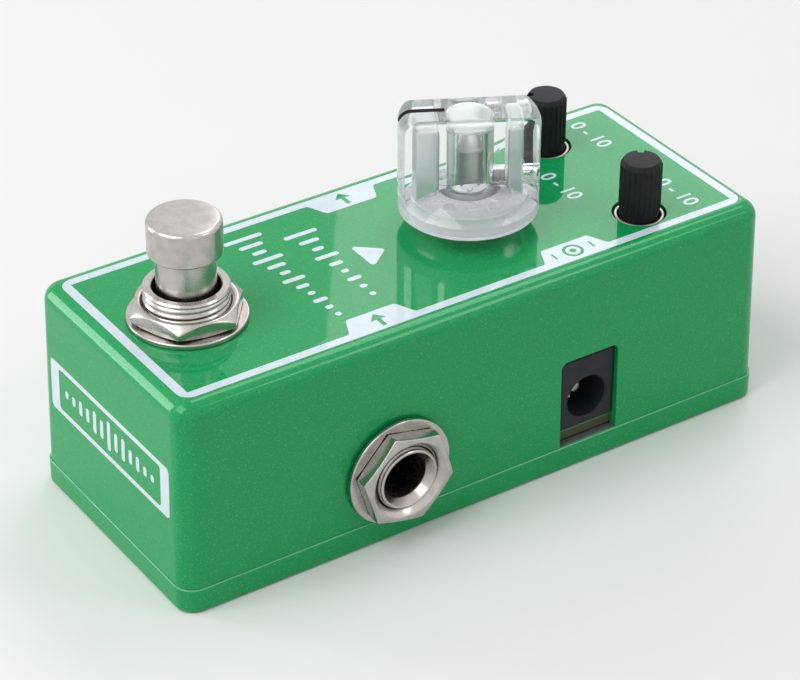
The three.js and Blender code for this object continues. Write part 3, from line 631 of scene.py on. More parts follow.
class Sheet:
    """A material's node tree, with millimetre coordinates of the object it is on."""

    def __init__(self, name: str, tree: bpy.types.NodeTree | None = None) -> None:
        """Starts a material, or wraps the world's tree.

        Args:
            name: The material's name.
            tree: The world's tree, where there is no material.
        """
        self.material = None
        if tree is None:
            self.material = bpy.data.materials.new(name)
            self.material.use_nodes = True
            tree = self.material.node_tree
        tree.nodes.clear()
        self.tree = tree

    def add(self, kind: str, settings: Mapping[str, Any], inputs: Mapping[Any, Any]) -> Outputs:
        """Adds any node.

        Args:
            kind: The node's type.
            settings: Its own settings.
            inputs: Values or wires for its sockets, by name or number.

        Returns:
            Its outputs.
        """
        node = self.tree.nodes.new(kind)
        for name, value in settings.items():
            setattr(node, name, value)
        for name, value in inputs.items():
            if isinstance(value, Wire):
                self.tree.links.new(value.socket, node.inputs[name])
            elif isinstance(value, tuple) and len(value) == 3 and node.inputs[name].type == "RGBA":
                node.inputs[name].default_value = (*value, 1)
            else:
                node.inputs[name].default_value = value
        return Outputs(self, node)

    def mapped(self, vector: Wire, **changes: tuple[float, float, float]) -> Wire:
        """A vector that a Mapping node moves, turns or scales."""
        return self.add("ShaderNodeMapping", {}, {"Vector": vector, **changes})["Vector"]

    def place(self, centre: Sequence[float] = (0, 0, 0), turn: float = 0.0) -> Wire:
        """The place on the object in millimetres.

        Args:
            centre: Where it is measured from.
            turn: The angle that it is turned back by, in degrees.

        Returns:
            The place as a vector.
        """
        at = self.add("ShaderNodeTexCoord", {}, {})["Object"]
        moved = self.mapped(at, Location=tuple(-c for c in centre), Scale=(1 / MM,) * 3)
        return self.mapped(moved, Rotation=(0, 0, math.radians(-turn))) if turn else moved

    def split(self, vector: Wire) -> tuple[Wire, Wire, Wire]:
        """The three parts of a vector."""
        parts = self.add("ShaderNodeSeparateXYZ", {}, {"Vector": vector})
        return parts["X"], parts["Y"], parts["Z"]

    def noise(
        self, place: Wire, size: float, detail: float = 3.0, stretch: Sequence[float] = (1, 1, 1)
    ) -> Wire:
        """Cloudy noise from 0 to 1.

        Args:
            place: The place on the object.
            size: About how wide its patches are.
            detail: How many finer layers it has.
            stretch: How much finer it is along each axis.

        Returns:
            The noise.
        """
        scaled = self.mapped(place, Scale=tuple(part / size for part in stretch))
        inputs = {"Vector": scaled, "Scale": 1.0, "Detail": detail}
        return self.add("ShaderNodeTexNoise", {}, inputs)["Fac"]

    def blend(self, factor: Wire | float, first: Any, second: Any) -> Wire:
        """A colour between two, by a factor from 0 to 1."""
        return self.add("ShaderNodeMix", {"data_type": "RGBA"}, {0: factor, 6: first, 7: second})[2]

    def bump(self, height: Wire, depth: float, strength: float = 1.0) -> Wire:
        """The normal of a surface raised by height from 0 to 1 over a depth."""
        inputs = {"Height": height, "Distance": depth * MM, "Strength": strength}
        return self.add("ShaderNodeBump", {}, inputs)["Normal"]

    def shader(self, inputs: Mapping[str, Any]) -> Wire:
        """A Principled shader with these inputs."""
        return self.add("ShaderNodeBsdfPrincipled", {}, inputs)["BSDF"]

    def finish(self, surface: Wire) -> Material:
        """Ends the material in a shader."""
        self.add("ShaderNodeOutputMaterial", {}, {"Surface": surface})
        return self.material

    def mix(self, share: Wire, first: Wire, second: Wire) -> Wire:
        """The first shader with a share of the second."""
        return self.add("ShaderNodeMixShader", {}, {0: share, 1: first, 2: second})["Shader"]


def shaded(colour: Colour, share: float) -> Colour:
    """A colour made darker by a share below 1, or lighter by one above."""
    return tuple(part * share for part in colour)


@dataclass(frozen=True)
class Finish:
    """A finish with soft colour patches, fine grain and uneven gloss.

    Attributes:
        name: The material's name.
        colour: Its main colour.
        shade: The colour of its patches.
        roughness: Its mean roughness.
        spread: How far the roughness varies.
        metallic: 1 for bare metal.
        coat: The weight of a clear coat.
        patch: The size of its patches.
        grain: The size of its grain.
        depth: The height of its grain.
        stretch: How much finer the grain is along each axis.
        specular: How strongly its surface mirrors at a right angle, where 0.5 is usual for plastic.
    """

    name: str
    colour: Colour
    shade: Colour
    roughness: float
    spread: float = 0.1
    metallic: float = 0.0
    coat: float = 0.0
    patch: float = 4.0
    grain: float = 0.15
    depth: float = 0.004
    stretch: tuple[float, float, float] = (1, 1, 1)
    specular: float = 0.5

    def material(self) -> Material:
        """The finish as a material.

        Returns:
            The material.
        """
        sheet = Sheet(self.name)
        place = sheet.place()
        patches = sheet.noise(place, self.patch)
        grain = sheet.noise(place, self.grain, 2.0, self.stretch)
        return sheet.finish(sheet.shader({
            "Base Color": sheet.blend(patches.step(0.35, 0.7), self.colour, self.shade),
            "Roughness": self.roughness + (patches - 0.5) * self.spread + (grain - 0.5) * self.spread,
            "Metallic": self.metallic,
            "Coat Weight": self.coat,
            "Coat Roughness": 0.05,
            "Specular IOR Level": self.specular,
            "Normal": sheet.bump(grain, self.depth),
        }))


FINISHES = {
    Slot.NICKEL: Finish(
        "nickel_plate", (0.53, 0.5, 0.48), (0.45, 0.425, 0.405), 0.24, 0.14, 1.0, patch=1.5, grain=0.16,
        depth=0.0035),
    Slot.STEEL: Finish(
        "satin_steel", (0.5, 0.5, 0.5), (0.42, 0.42, 0.42), 0.38, 0.12, 1.0, patch=3.0, grain=0.12,
        depth=0.003),
    Slot.ZINC: Finish(
        "dull_zinc", (0.5, 0.46, 0.4), (0.4, 0.36, 0.31), 0.42, 0.15, 1.0, patch=2.0, grain=0.2),
    Slot.BRASS: Finish("bare_brass", (0.62, 0.45, 0.2), (0.5, 0.35, 0.15), 0.35, 0.12, 1.0),
    Slot.BLACK: Finish(
        "black_nylon", (0.009, 0.010, 0.012), (0.015, 0.016, 0.019), 0.5, 0.12, patch=2.0, depth=0.006,
        specular=0.18),
    Slot.GREY: Finish(
        "charcoal_plastic", (0.02, 0.022, 0.028), (0.026, 0.028, 0.034), 0.42, patch=3.0, specular=0.18),
    Slot.BLUE: Finish("blue_plastic", (0.02, 0.08, 0.3), (0.02, 0.06, 0.24), 0.45),
    Slot.CREAM: Finish("cream_plastic", (0.75, 0.7, 0.58), (0.68, 0.63, 0.5), 0.45),
    Slot.TRACK: Finish("resistive_track", (0.1, 0.05, 0.025), (0.07, 0.035, 0.02), 0.6),
    Slot.CABLE: Finish("ribbon_sleeve", (0.27, 0.28, 0.31), (0.23, 0.24, 0.27), 0.55, stretch=(8, 1, 1)),
    Slot.CLEAR: Finish("led_lens", (0.7, 0.75, 0.72), (0.62, 0.68, 0.65), 0.2, coat=0.5),
}
INK = Finish("pale_ink", (0.66, 0.76, 0.84), (0.6, 0.71, 0.8), 0.3, 0.08, coat=0.5, patch=1.5)
MARK = Finish("black_ink", (0.006, 0.006, 0.007), (0.01, 0.01, 0.012), 0.5, patch=1.0, specular=0.05)


@functools.cache
def slot_material(slot: Slot) -> Material:
    """The material that a slot's pieces share, made when it is first asked for."""
    return FINISHES[slot].material()


@dataclass(frozen=True)
class FlakePaint:
    """Green paint with fine metal flakes under a clear coat, over bare cast metal inside, with painted
    glints on a few flakes and a painted highlight along an edge.

    Attributes:
        name: The material's name.
        half: Half width and half length at the foot, within which the inside is bare.
        rise: The heights between which the inside is bare.
        corner: The radius of that outline's corners.
        lean: How far the outline moves in for each millimetre of height.
        highlight_height: The height of an edge that gets a painted highlight, a pale band just under it.
        colour: The paint.
        deep: The paint where it is a little thicker.
        flake: The flakes' colour.
        painted_glint: The pale colour painted on a few flakes as painted glints, and along an edge as a
            painted highlight.
        bare: The cast metal's colour.
        flake_size: The size of a flake.
        tilt: How far the flakes and the cast skin raise the surface.
    """

    name: str
    half: tuple[float, float]
    rise: tuple[float, float]
    corner: float
    lean: float = 0.0
    highlight_height: float = 1000.0
    colour: Colour = (0.004, 0.335, 0.09)
    deep: Colour = (0.003, 0.305, 0.08)
    flake: Colour = (0.04, 0.5, 0.2)
    painted_glint: Colour = (0.22, 0.62, 0.38)
    bare: Colour = (0.34, 0.35, 0.35)
    flake_size: float = 0.09
    tilt: float = 0.015

    def material(self) -> Material:
        """The paint as a material. The inside is where the distance past the outline's corner centres is
        less than the corner radius.

        Returns:
            The material.
        """
        sheet = Sheet(self.name)
        place = sheet.place()
        x, y, z = sheet.split(place)
        across, along = (
            (abs(part) + z * self.lean - (half - self.corner)).math("MAXIMUM", 0.0)
            for part, half in zip((x, y), self.half))
        past = (across * across + along * along) ** 0.5
        low, high = self.rise
        inside = past.step(self.corner, self.corner - 0.2)
        inside = inside * z.step(high, high - 0.2) * z.step(low - 0.2, low)
        inputs = {"Vector": place, "Scale": 1 / self.flake_size}
        flakes = sheet.add("ShaderNodeTexVoronoi", {}, inputs)
        red, green, blue = sheet.split(flakes["Color"])
        bright = red.step(0.72, 1.0)
        # Painted highlight: a pale band just under the edge's height, standing in for the light along the
        # seam.
        edge_highlight = z.step(self.highlight_height - 0.17, self.highlight_height - 0.08)
        painted = sheet.blend(sheet.noise(place, 9.0), self.colour, self.deep)
        painted = sheet.blend(bright * 0.3, painted, self.flake)
        # Painted glints: a few flakes are painted pale as if they caught the light. Painted highlight: a
        # pale band along the edge at highlight_height.
        for share in (blue.step(0.955, 0.99) * 0.45, edge_highlight * 0.55):
            painted = sheet.blend(share, painted, self.painted_glint)
        cast = sheet.noise(place, 0.5, 4.0)
        metal = sheet.blend(cast, self.bare, shaded(self.bare, 0.7))
        return sheet.finish(sheet.shader({
            "Base Color": sheet.blend(inside, painted, metal),
            "Roughness": 0.36 + bright * 0.1 + inside * 0.15,
            "Metallic": 0.12 + inside * 0.7,
            "Coat Weight": (1.0 - inside) * (1.0 - green.step(0.5, 1.0) * 0.4),
            "Coat Roughness": 0.03,
            "Coat IOR": 1.4,
            "Specular IOR Level": 0.0,
            "Normal": sheet.bump(green + cast * inside, self.tilt, 0.35),
        }))


@dataclass(frozen=True)
class Pocket:
    """A pocket in the knob's bar.

    Attributes:
        side: -1 at the pointer's end, 1 at the screw's.
        near: How far its flat wall lies from the axis.
        far: The radius of its outer wall.
        half: Half its width.
    """

    side: int
    near: float
    far: float
    half: float


@dataclass(frozen=True)
class ClearAcrylic:
    """Clear moulded plastic, polished outside and frosted on the walls of its hollows.

    Attributes:
        name: The material's name.
        centre: The middle of the knob's underside.
        turn: The bar's angle, in degrees.
        bore: Frosted out to this radius.
        roof: Clear above this height over the underside.
        recess: The radius and depth of the hollow under the skirt.
        pockets: The pockets in the bar.
        clear: The polished plastic.
        frosted: The plastic behind a frosted wall.
        pale: The light that a frosted wall scatters.
        under_pale: The light that the frosted underside scatters.
    """

    name: str
    centre: tuple[float, float, float]
    turn: float
    bore: float
    roof: float
    recess: tuple[float, float]
    pockets: Sequence[Pocket]
    clear: Colour = (0.95, 0.965, 0.96)
    frosted: Colour = (0.9, 0.93, 0.94)
    pale: Colour = (0.78, 0.83, 0.86)
    under_pale: Colour = (0.93, 0.91, 0.97)

    def material(self) -> Material:
        """The plastic as a material: the clear shader, with a share of a pale one where it is frosted.

        Returns:
            The material.
        """
        sheet = Sheet(self.name)
        place = sheet.place(self.centre, self.turn)
        x, y, z = sheet.split(place)
        radius = (x * x + y * y) ** 0.5
        frost = radius.step(self.bore, self.bore - 0.06) * z.step(self.roof - 1.0, self.roof - 0.7)
        for pocket in self.pockets:
            walls = (x * pocket.side).step(pocket.near - 0.1, pocket.near - 0.04)
            walls = walls * radius.step(pocket.far + 0.1, pocket.far + 0.04)
            frost = frost + walls * abs(y).step(pocket.half + 0.1, pocket.half + 0.04)
        frost = frost * z.step(self.roof, self.roof - 0.05)
        across, depth = self.recess
        under = radius.step(across, across - 0.04) * z.step(depth + 0.27, depth + 0.1)
        under = (under + z.step(0.1, 0.05)).math("MINIMUM", 1.0)
        frost = (frost + under).math("MINIMUM", 1.0)
        haze = sheet.noise(place, 0.6, 4.0)
        normal = sheet.bump(haze * (frost + 0.04), 0.02, 0.5)
        clear = sheet.shader({
            "Base Color": sheet.blend(frost, self.clear, self.frosted),
            "Roughness": 0.01 + frost * 0.3 + haze * 0.015,
            "Transmission Weight": 1.0,
            "IOR": 1.49,
            "Normal": normal,
        })
        pale = sheet.shader({
            "Base Color": sheet.blend(under, self.pale, self.under_pale),
            "Roughness": 0.6,
            "Normal": normal,
        })
        return sheet.finish(sheet.mix(frost * (0.16 + haze * 0.27) + under * 0.42, clear, pale))


@dataclass(frozen=True)
class Laminate:
    """A circuit board: green lacquer over dark glass fibre that shows at the edges, where it is darkened
    further as painted shade.

    Attributes:
        name: The material's name.
        top: The height of the board's top.
        lacquer: How far down its edge the lacquer reaches.
        green: The lacquer.
        core_and_shade: The glass fibre at the edges: its own dark colour with painted shade on it.
    """

    name: str
    top: float
    lacquer: float = 0.35
    green: Colour = (0.015, 0.2, 0.06)
    core_and_shade: Colour = (0.035, 0.04, 0.018)

    def material(self) -> Material:
        """The board as a material.

        Returns:
            The material.
        """
        sheet = Sheet(self.name)
        place = sheet.place()
        height = sheet.split(place)[2]
        weave = sheet.noise(place, 0.25, 2.0, (1, 1, 4))
        coated = height.step(self.top - self.lacquer - 0.05, self.top - self.lacquer)
        # Painted shade: the board's edges below the lacquer are painted near black.
        core_and_shade = sheet.blend(weave, self.core_and_shade, shaded(self.core_and_shade, 1.7))
        green = sheet.blend(weave, self.green, shaded(self.green, 0.75))
        return sheet.finish(sheet.shader({
            "Base Color": sheet.blend(coated, core_and_shade, green),
            "Roughness": 0.65 - coated * 0.35,
            "Coat Weight": coated * 0.3,
            "Normal": sheet.bump(weave, 0.01),
        }))


# The studio.


@dataclass(frozen=True)
class Stage:
    """The floor, the white surroundings and the soft lamps.

    Attributes:
        floor_colour: The floor's colour.
        floor_size: Its width and length.
        backdrop: The strength of the white that the camera and reflections see.
        light: The strength of the even light on the pedal.
        aim: The point that the lamps face.
        lamps: Name, place, width and height, and power in watts of each lamp.
    """

    floor_colour: Colour = (0.86, 0.86, 0.86)
    floor_size: float = 6000.0
    backdrop: float = 1.0
    light: float = 0.5
    aim: tuple[float, float, float] = (0, 0, 15)
    lamps: tuple[tuple[str, tuple[float, float, float], tuple[float, float], float], ...] = (
        ("key_lamp", (0, -440, 560), (480, 480), 2.3),
        ("back_lamp", (-130, 330, 640), (380, 170), 0.7),
        ("edge_lamp", (383, 326, 486), (150, 180), 0.32),
        ("sheen_lamp", (-462, 425, 385), (240, 320), 0.4),
        ("low_lamp", (-511, -448, 184), (150, 440), 1.2),
    )

    def build(self) -> None:
        """Makes the floor, the world and the lamps."""
        self.floor()
        self.world()
        for lamp in self.lamps:
            self.lamp(*lamp)

    def lamp(self, name: str, place: Sequence[float], size: tuple[float, float], power: float) -> None:
        """A rectangular lamp that faces the pedal.

        Args:
            name: Its name.
            place: Its middle.
            size: Its width and height.
            power: Its power in watts.
        """
        data = bpy.data.lights.new(name, "AREA")
        data.shape = "RECTANGLE"
        data.size, data.size_y = (side * MM for side in size)
        data.energy = power
        lamp = linked(name, data)
        lamp.location = Vector(place) * MM
        lamp.rotation_mode = "QUATERNION"
        lamp.rotation_quaternion = (Vector(self.aim) * MM - lamp.location).to_track_quat("-Z", "Y")

    def floor(self) -> None:
        """A pale floor that shows only from above."""
        half = self.floor_size / 2 * MM
        mesh = bpy.data.meshes.new("floor")
        corners = [(-half, -half, 0), (half, -half, 0), (half, half, 0), (-half, half, 0)]
        mesh.from_pydata(corners, [], [(0, 1, 2, 3)])
        sheet = Sheet("pale_floor")
        grain = sheet.noise(sheet.place(), 30.0)
        colour = sheet.blend(grain, self.floor_colour, shaded(self.floor_colour, 0.985))
        surface = sheet.shader({"Base Color": colour, "Roughness": 0.7, "Specular IOR Level": 0.2})
        under = sheet.add("ShaderNodeNewGeometry", {}, {})["Backfacing"]
        open_air = sheet.add("ShaderNodeBsdfTransparent", {}, {})["BSDF"]
        mesh.materials.append(sheet.finish(sheet.mix(under, surface, open_air)))
        linked("floor", mesh)

    def world(self) -> None:
        """White to the camera and in reflections, and a plain even light on the pedal."""
        world = bpy.data.worlds.new("studio")
        world.use_nodes = True
        bpy.context.scene.world = world
        sheet = Sheet("studio", world.node_tree)
        path = sheet.add("ShaderNodeLightPath", {}, {})
        seen = path["Is Camera Ray"] + path["Is Glossy Ray"] + path["Is Transmission Ray"]
        strength = seen.math("MINIMUM", 1.0) * (self.backdrop - self.light) + self.light
        inputs = {"Color": (1.0, 1.0, 1.0), "Strength": strength}
        light = sheet.add("ShaderNodeBackground", {}, inputs)["Background"]
        sheet.add("ShaderNodeOutputWorld", {}, {"Surface": light})


@dataclass(frozen=True)
class PhotoCamera:
    """The photograph's camera, from a fit to the case's edges and the round pieces.

    Attributes:
        azimuth: The direction it looks from, in degrees.
        elevation: Its height above the horizon, in degrees.
        roll: How far the picture is turned, in degrees.
        distance: Its distance from the target.
        target: The point in the middle of the picture.
        lens: Its focal length.
        sensor: The width of its sensor.
        clip: The nearest and farthest place that it sees, in metres.
    """

    azimuth: float = 56.117
    elevation: float = 33.149
    roll: float = 0.29
    distance: float = 423.67
    target: tuple[float, float, float] = (1.812, -2.467, 17.524)
    lens: float = 138.83
    sensor: float = 36.0
    clip: tuple[float, float] = (0.01, 20.0)

    def build(self) -> None:
        """Makes the camera and the scene's colour settings."""
        a, e, r = (math.radians(v) for v in (self.azimuth, self.elevation, self.roll))
        back = Vector((math.sin(a) * math.cos(e), -math.cos(a) * math.cos(e), math.sin(e)))
        right = Vector((math.cos(a), math.sin(a), 0))
        up = back.cross(right)
        rolled_right = right * math.cos(r) + up * math.sin(r)
        rolled_up = up * math.cos(r) - right * math.sin(r)
        data = bpy.data.cameras.new("camera")
        data.lens = self.lens
        data.sensor_width = self.sensor
        data.sensor_fit = "HORIZONTAL"
        data.clip_start, data.clip_end = self.clip
        camera = linked("camera", data)
        turned = Matrix((rolled_right, rolled_up, back)).transposed().to_4x4()
        place = (Vector(self.target) + back * self.distance) * MM
        camera.matrix_world = Matrix.Translation(place) @ turned
        bpy.context.scene.camera = camera
        bpy.context.scene.view_settings.view_transform = "Standard"


# Sub-assemblies.


@dataclass
class Case:
    """The cast shell and the tray under it, with its screws."""

    draft: float = 0.5
    corner: float = 2.8
    top_edge: float = 2.3
    lip_edge: float = 0.05
    wall: float = 2.0
    panel: float = 2.5
    hollow_corner: float = 1.1
    notch: tuple[float, float] = (12.5, 22.1)
    notch_top: float = 17.5
    notch_corner: float = 1.0
    tray_edge: float = 0.13
    tray_rise: float = 0.07
    tray_wall: float = 1.9
    tray_floor: float = 1.8
    tray_corner: float = 1.2
    lip: float = 0.3
    foot_edge: float = 0.6
    screws: tuple[int, ...] = (1, 2, 3, 4)
    screw_head: float = 2.8
    screw_shank: float = 1.45
    screw_sunk: float = 0.1
    screw_cone: float = 1.6
    screw_gap: float = 0.1
    cross: tuple[float, float, float] = (3.0, 0.7, 0.9)
    cross_turn: float = 17.0

    def build(self, holes: Sequence[Shape]) -> None:
        """Makes the shell with its holes, the tray and the screws.

        Args:
            holes: The shapes that the shell's holes take away.
        """
        self.shell(holes)
        self.tray()
        for index in self.screws:
            self.screw(index)

    def shell(self, holes: Sequence[Shape]) -> None:
        """The shell: its outline moves in by the draft as it rises, and by the rounding at the top edge.

        Args:
            holes: The shapes that its holes take away.
        """
        space = reach("enclosure")
        half_x, half_y, top = space.high
        seam = space.low[2]
        lean = self.draft / top
        deep = self.top_edge * 2
        rings = []
        for inset, height in softened(
                [(deep, seam, 0), (0, seam, self.lip_edge), (0, top, self.top_edge), (deep, top, 0)], 8):
            inwards = inset + lean * (height - seam)
            corner = max(self.corner - inset, 0.3)
            rings.append(level(rounded_outline(half_x - inwards, half_y - inwards, corner), height))
        shell = Shape.rings(np.stack(rings)).object("case_shell")
        inwards = self.wall + self.draft / 2
        hollow = Shape.block(
            half_x - inwards, half_y - inwards, seam - CUT_PAST, top - self.panel, self.hollow_corner)
        front, back = self.notch
        notch = Shape.block(
            (self.notch_top + CUT_PAST) / 2, (back - front) / 2, 0, self.wall + 2 * CUT_PAST,
            self.notch_corner)
        notch = notch.spun(90, "Y").moved(
            half_x - self.wall - CUT_PAST, (front + back) / 2, (self.notch_top - CUT_PAST) / 2)
        combine(shell, "DIFFERENCE", [hollow, notch, *holes])
        inwards = self.wall / 2 - seam * lean
        paint = FlakePaint(
            "green_flake_paint", (half_x - inwards, half_y - inwards), (seam - 0.5, top - self.panel / 2),
            self.corner - self.wall / 2, lean)
        present(shell, Body.PEDAL, Slot.PAINT, ["enclosure"], 0.12, paint.material())

    def tray(self) -> None:
        """The tray: a shallow block with a round lower edge, hollow above, with four countersunk holes."""
        half_x, half_y, top = reach("base_plate").high
        top += self.tray_rise
        rings = [
            level(rounded_outline(half_x - inset, half_y - inset, self.corner - inset), height)
            for inset, height in softened(
                [(2, 0, 0), (0, 0, self.foot_edge), (0, top, self.tray_edge), (2, top, 0)], 6)]
        tray = Shape.rings(np.stack(rings)).object("case_tray")
        hollow = Shape.block(
            half_x - self.tray_wall, half_y - self.tray_wall, self.tray_floor, top + CUT_PAST,
            self.tray_corner)
        head, shank = self.screw_head + self.screw_gap, self.screw_shank + self.screw_gap
        sink = Shape.soft([
            (head, -CUT_PAST, 0), (head, self.screw_sunk, 0),
            (shank, self.screw_sunk + self.screw_cone, 0), (shank, top, 0)])
        sinks = [sink.moved(*reach(f"base_screw_{index}").middle[:2]) for index in self.screws]
        combine(tray, "DIFFERENCE", [hollow, *sinks])
        # The tray's paint has a painted highlight along its top edge at the seam.
        paint = FlakePaint(
            "green_tray_paint", (half_x - self.lip, half_y - self.lip),
            (self.tray_floor / 2, top + CUT_PAST), self.corner - self.lip, highlight_height=top)
        present(tray, Body.PEDAL, Slot.PAINT, ["base_plate"], 0.08, paint.material())

    def screw(self, index: int) -> None:
        """A countersunk screw with a cross recess.

        Args:
            index: Its number, from 1.
        """
        node = f"base_screw_{index}"
        space = reach(node)
        x, y, _ = space.middle
        screw = Shape.soft([
            (self.screw_head - 0.4, self.screw_sunk, 0), (self.screw_head, self.screw_sunk, 0.08),
            (self.screw_shank, self.screw_sunk + self.screw_cone, 0.1),
            (self.screw_shank, space.high[2], 0)], SMALL_SIDES)
        screw = screw.moved(x, y).object(f"case_screw_{index}")
        span, width, depth = self.cross
        arm = Shape.block(
            span / 2, width / 2, self.screw_sunk - CUT_PAST, self.screw_sunk + depth, 0.15)
        turn = self.cross_turn * index
        combine(screw, "DIFFERENCE", [arm.spun(turn + quarter).moved(x, y) for quarter in (0, 90)])
        present(screw, Body.PEDAL, Slot.STEEL, [node], 0.05)


def panel_hole(radius: float, x: float, y: float) -> Shape:
    """What a round hole takes away from the top panel."""
    top = panel_height()
    return Shape.rod(radius, top - PANEL_CUT, top + CUT_PAST).moved(x, y)


@dataclass
class Footswitch:
    """The plated footswitch: cap, threaded bushing, nut and washer."""

    cap_height: float = 5.0
    cap_edge: float = 0.65
    under_edge: float = 0.3
    neck: float = 4.0
    neck_bottom: float = 1.5
    stem: float = 2.0
    spigot: float = 0.9
    spigot_length: float = 0.9
    thread: Thread = Thread(5.8, 0.28, 0.9, 0.4)
    bore: float = 4.6
    guide: float = 2.3
    guide_drop: float = 4.5
    top: float = 5.2
    nut: Nut = Nut(13.8, 1.0, 5.9, 0.3, 21.5)
    clearance: float = 5.9

    def hole(self) -> Shape:
        """The panel hole round the switch."""
        return panel_hole(self.clearance, 0, reach("footswitch_button").middle[1])

    def build(self) -> None:
        """Makes the visible pieces of the switch."""
        space, panel = reach("footswitch_button"), panel_height()
        y, cap = space.middle[1], space.half[0]
        bottom, top = space.low[2], space.high[2]
        foot, neck, under = bottom + self.spigot_length, panel + self.neck_bottom, top - self.cap_height
        button = Shape.soft([
            (self.spigot / 2, bottom, 0), (self.spigot, bottom, 0.1), (self.spigot, foot, 0),
            (self.stem, foot, 0.1), (self.stem, neck, 0), (self.neck, neck, 0.2),
            (self.neck, under, 0.25), (cap, under, self.under_edge), (cap, top, self.cap_edge),
            (cap / 2, top, 0)], PLATED_SIDES, 8).moved(0, y).object("switch_cap")
        present(button, Body.PLUNGER, Slot.NICKEL, ["footswitch_button"])
        self.bushing(y, panel)
        space = reach("footswitch_nut")
        nut = self.nut.shape(space.low[2], space.high[2]).moved(0, y).object("switch_nut")
        present(nut, Body.PEDAL, Slot.NICKEL, ["footswitch_nut"], 0.1)
        space = reach("footswitch_washer")
        washer = Shape.tube(
            self.clearance, space.half[0], space.low[2], space.high[2], (0.1, 0.12, 0.2, 0.1),
            PLATED_SIDES).moved(0, y).object("switch_washer")
        present(washer, Body.PEDAL, Slot.NICKEL, ["footswitch_washer"])

    def bushing(self, y: float, panel: float) -> None:
        """The bushing, threaded outside, with the bore that the neck goes down in.

        Args:
            y: The switch's place.
            panel: The panel's height.
        """
        bottom, top, floor = reach("footswitch_bushing").low[2], panel + self.top, panel - self.guide_drop
        root, bore = self.thread.radius - 0.1, self.bore
        bushing = self.thread.shape(
            [(self.guide, bottom), (root, bottom), (root, panel - 1.1)],
            np.linspace(panel - 1.0, top - 0.25, 84),
            [(self.thread.radius - 0.22, top), (bore + 0.15, top), (bore, top - 0.15), (bore, floor),
             (self.guide, floor)])
        present(
            bushing.moved(0, y).object("switch_bushing"), Body.PEDAL, Slot.NICKEL, ["footswitch_bushing"])


@dataclass
class ReturnSpring:
    """The coil spring under the footswitch's cap."""

    wire: float = 0.28
    turns: int = 4
    steps: int = 48
    sides: int = 10
    end_gap: float = 0.3
    travel: float = 2.5

    def build(self) -> None:
        """Makes the spring. Its wire's middle rises evenly as it goes round the axis."""
        space = reach("footswitch_spring")
        x, y, _ = space.middle
        bottom, height = space.low[2], space.high[2] - space.low[2]
        share = np.linspace(0, 1, self.turns * self.steps + 1)[:, None]
        section = circle(self.sides)
        out = space.half[1] - self.wire + self.wire * np.cos(section)
        rise = bottom + self.wire + share * (height - 2 * self.wire) + self.wire * np.sin(section)
        grid = around(out, rise, share * self.turns * FULL_TURN)
        spring = Shape.rings(grid[::-1]).moved(x, y).object("switch_spring")
        present(spring, Body.PEDAL, Slot.STEEL, ["footswitch_spring"])
        length = height + 2 * self.end_gap
        (length - self.travel) / length
        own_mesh(spring)


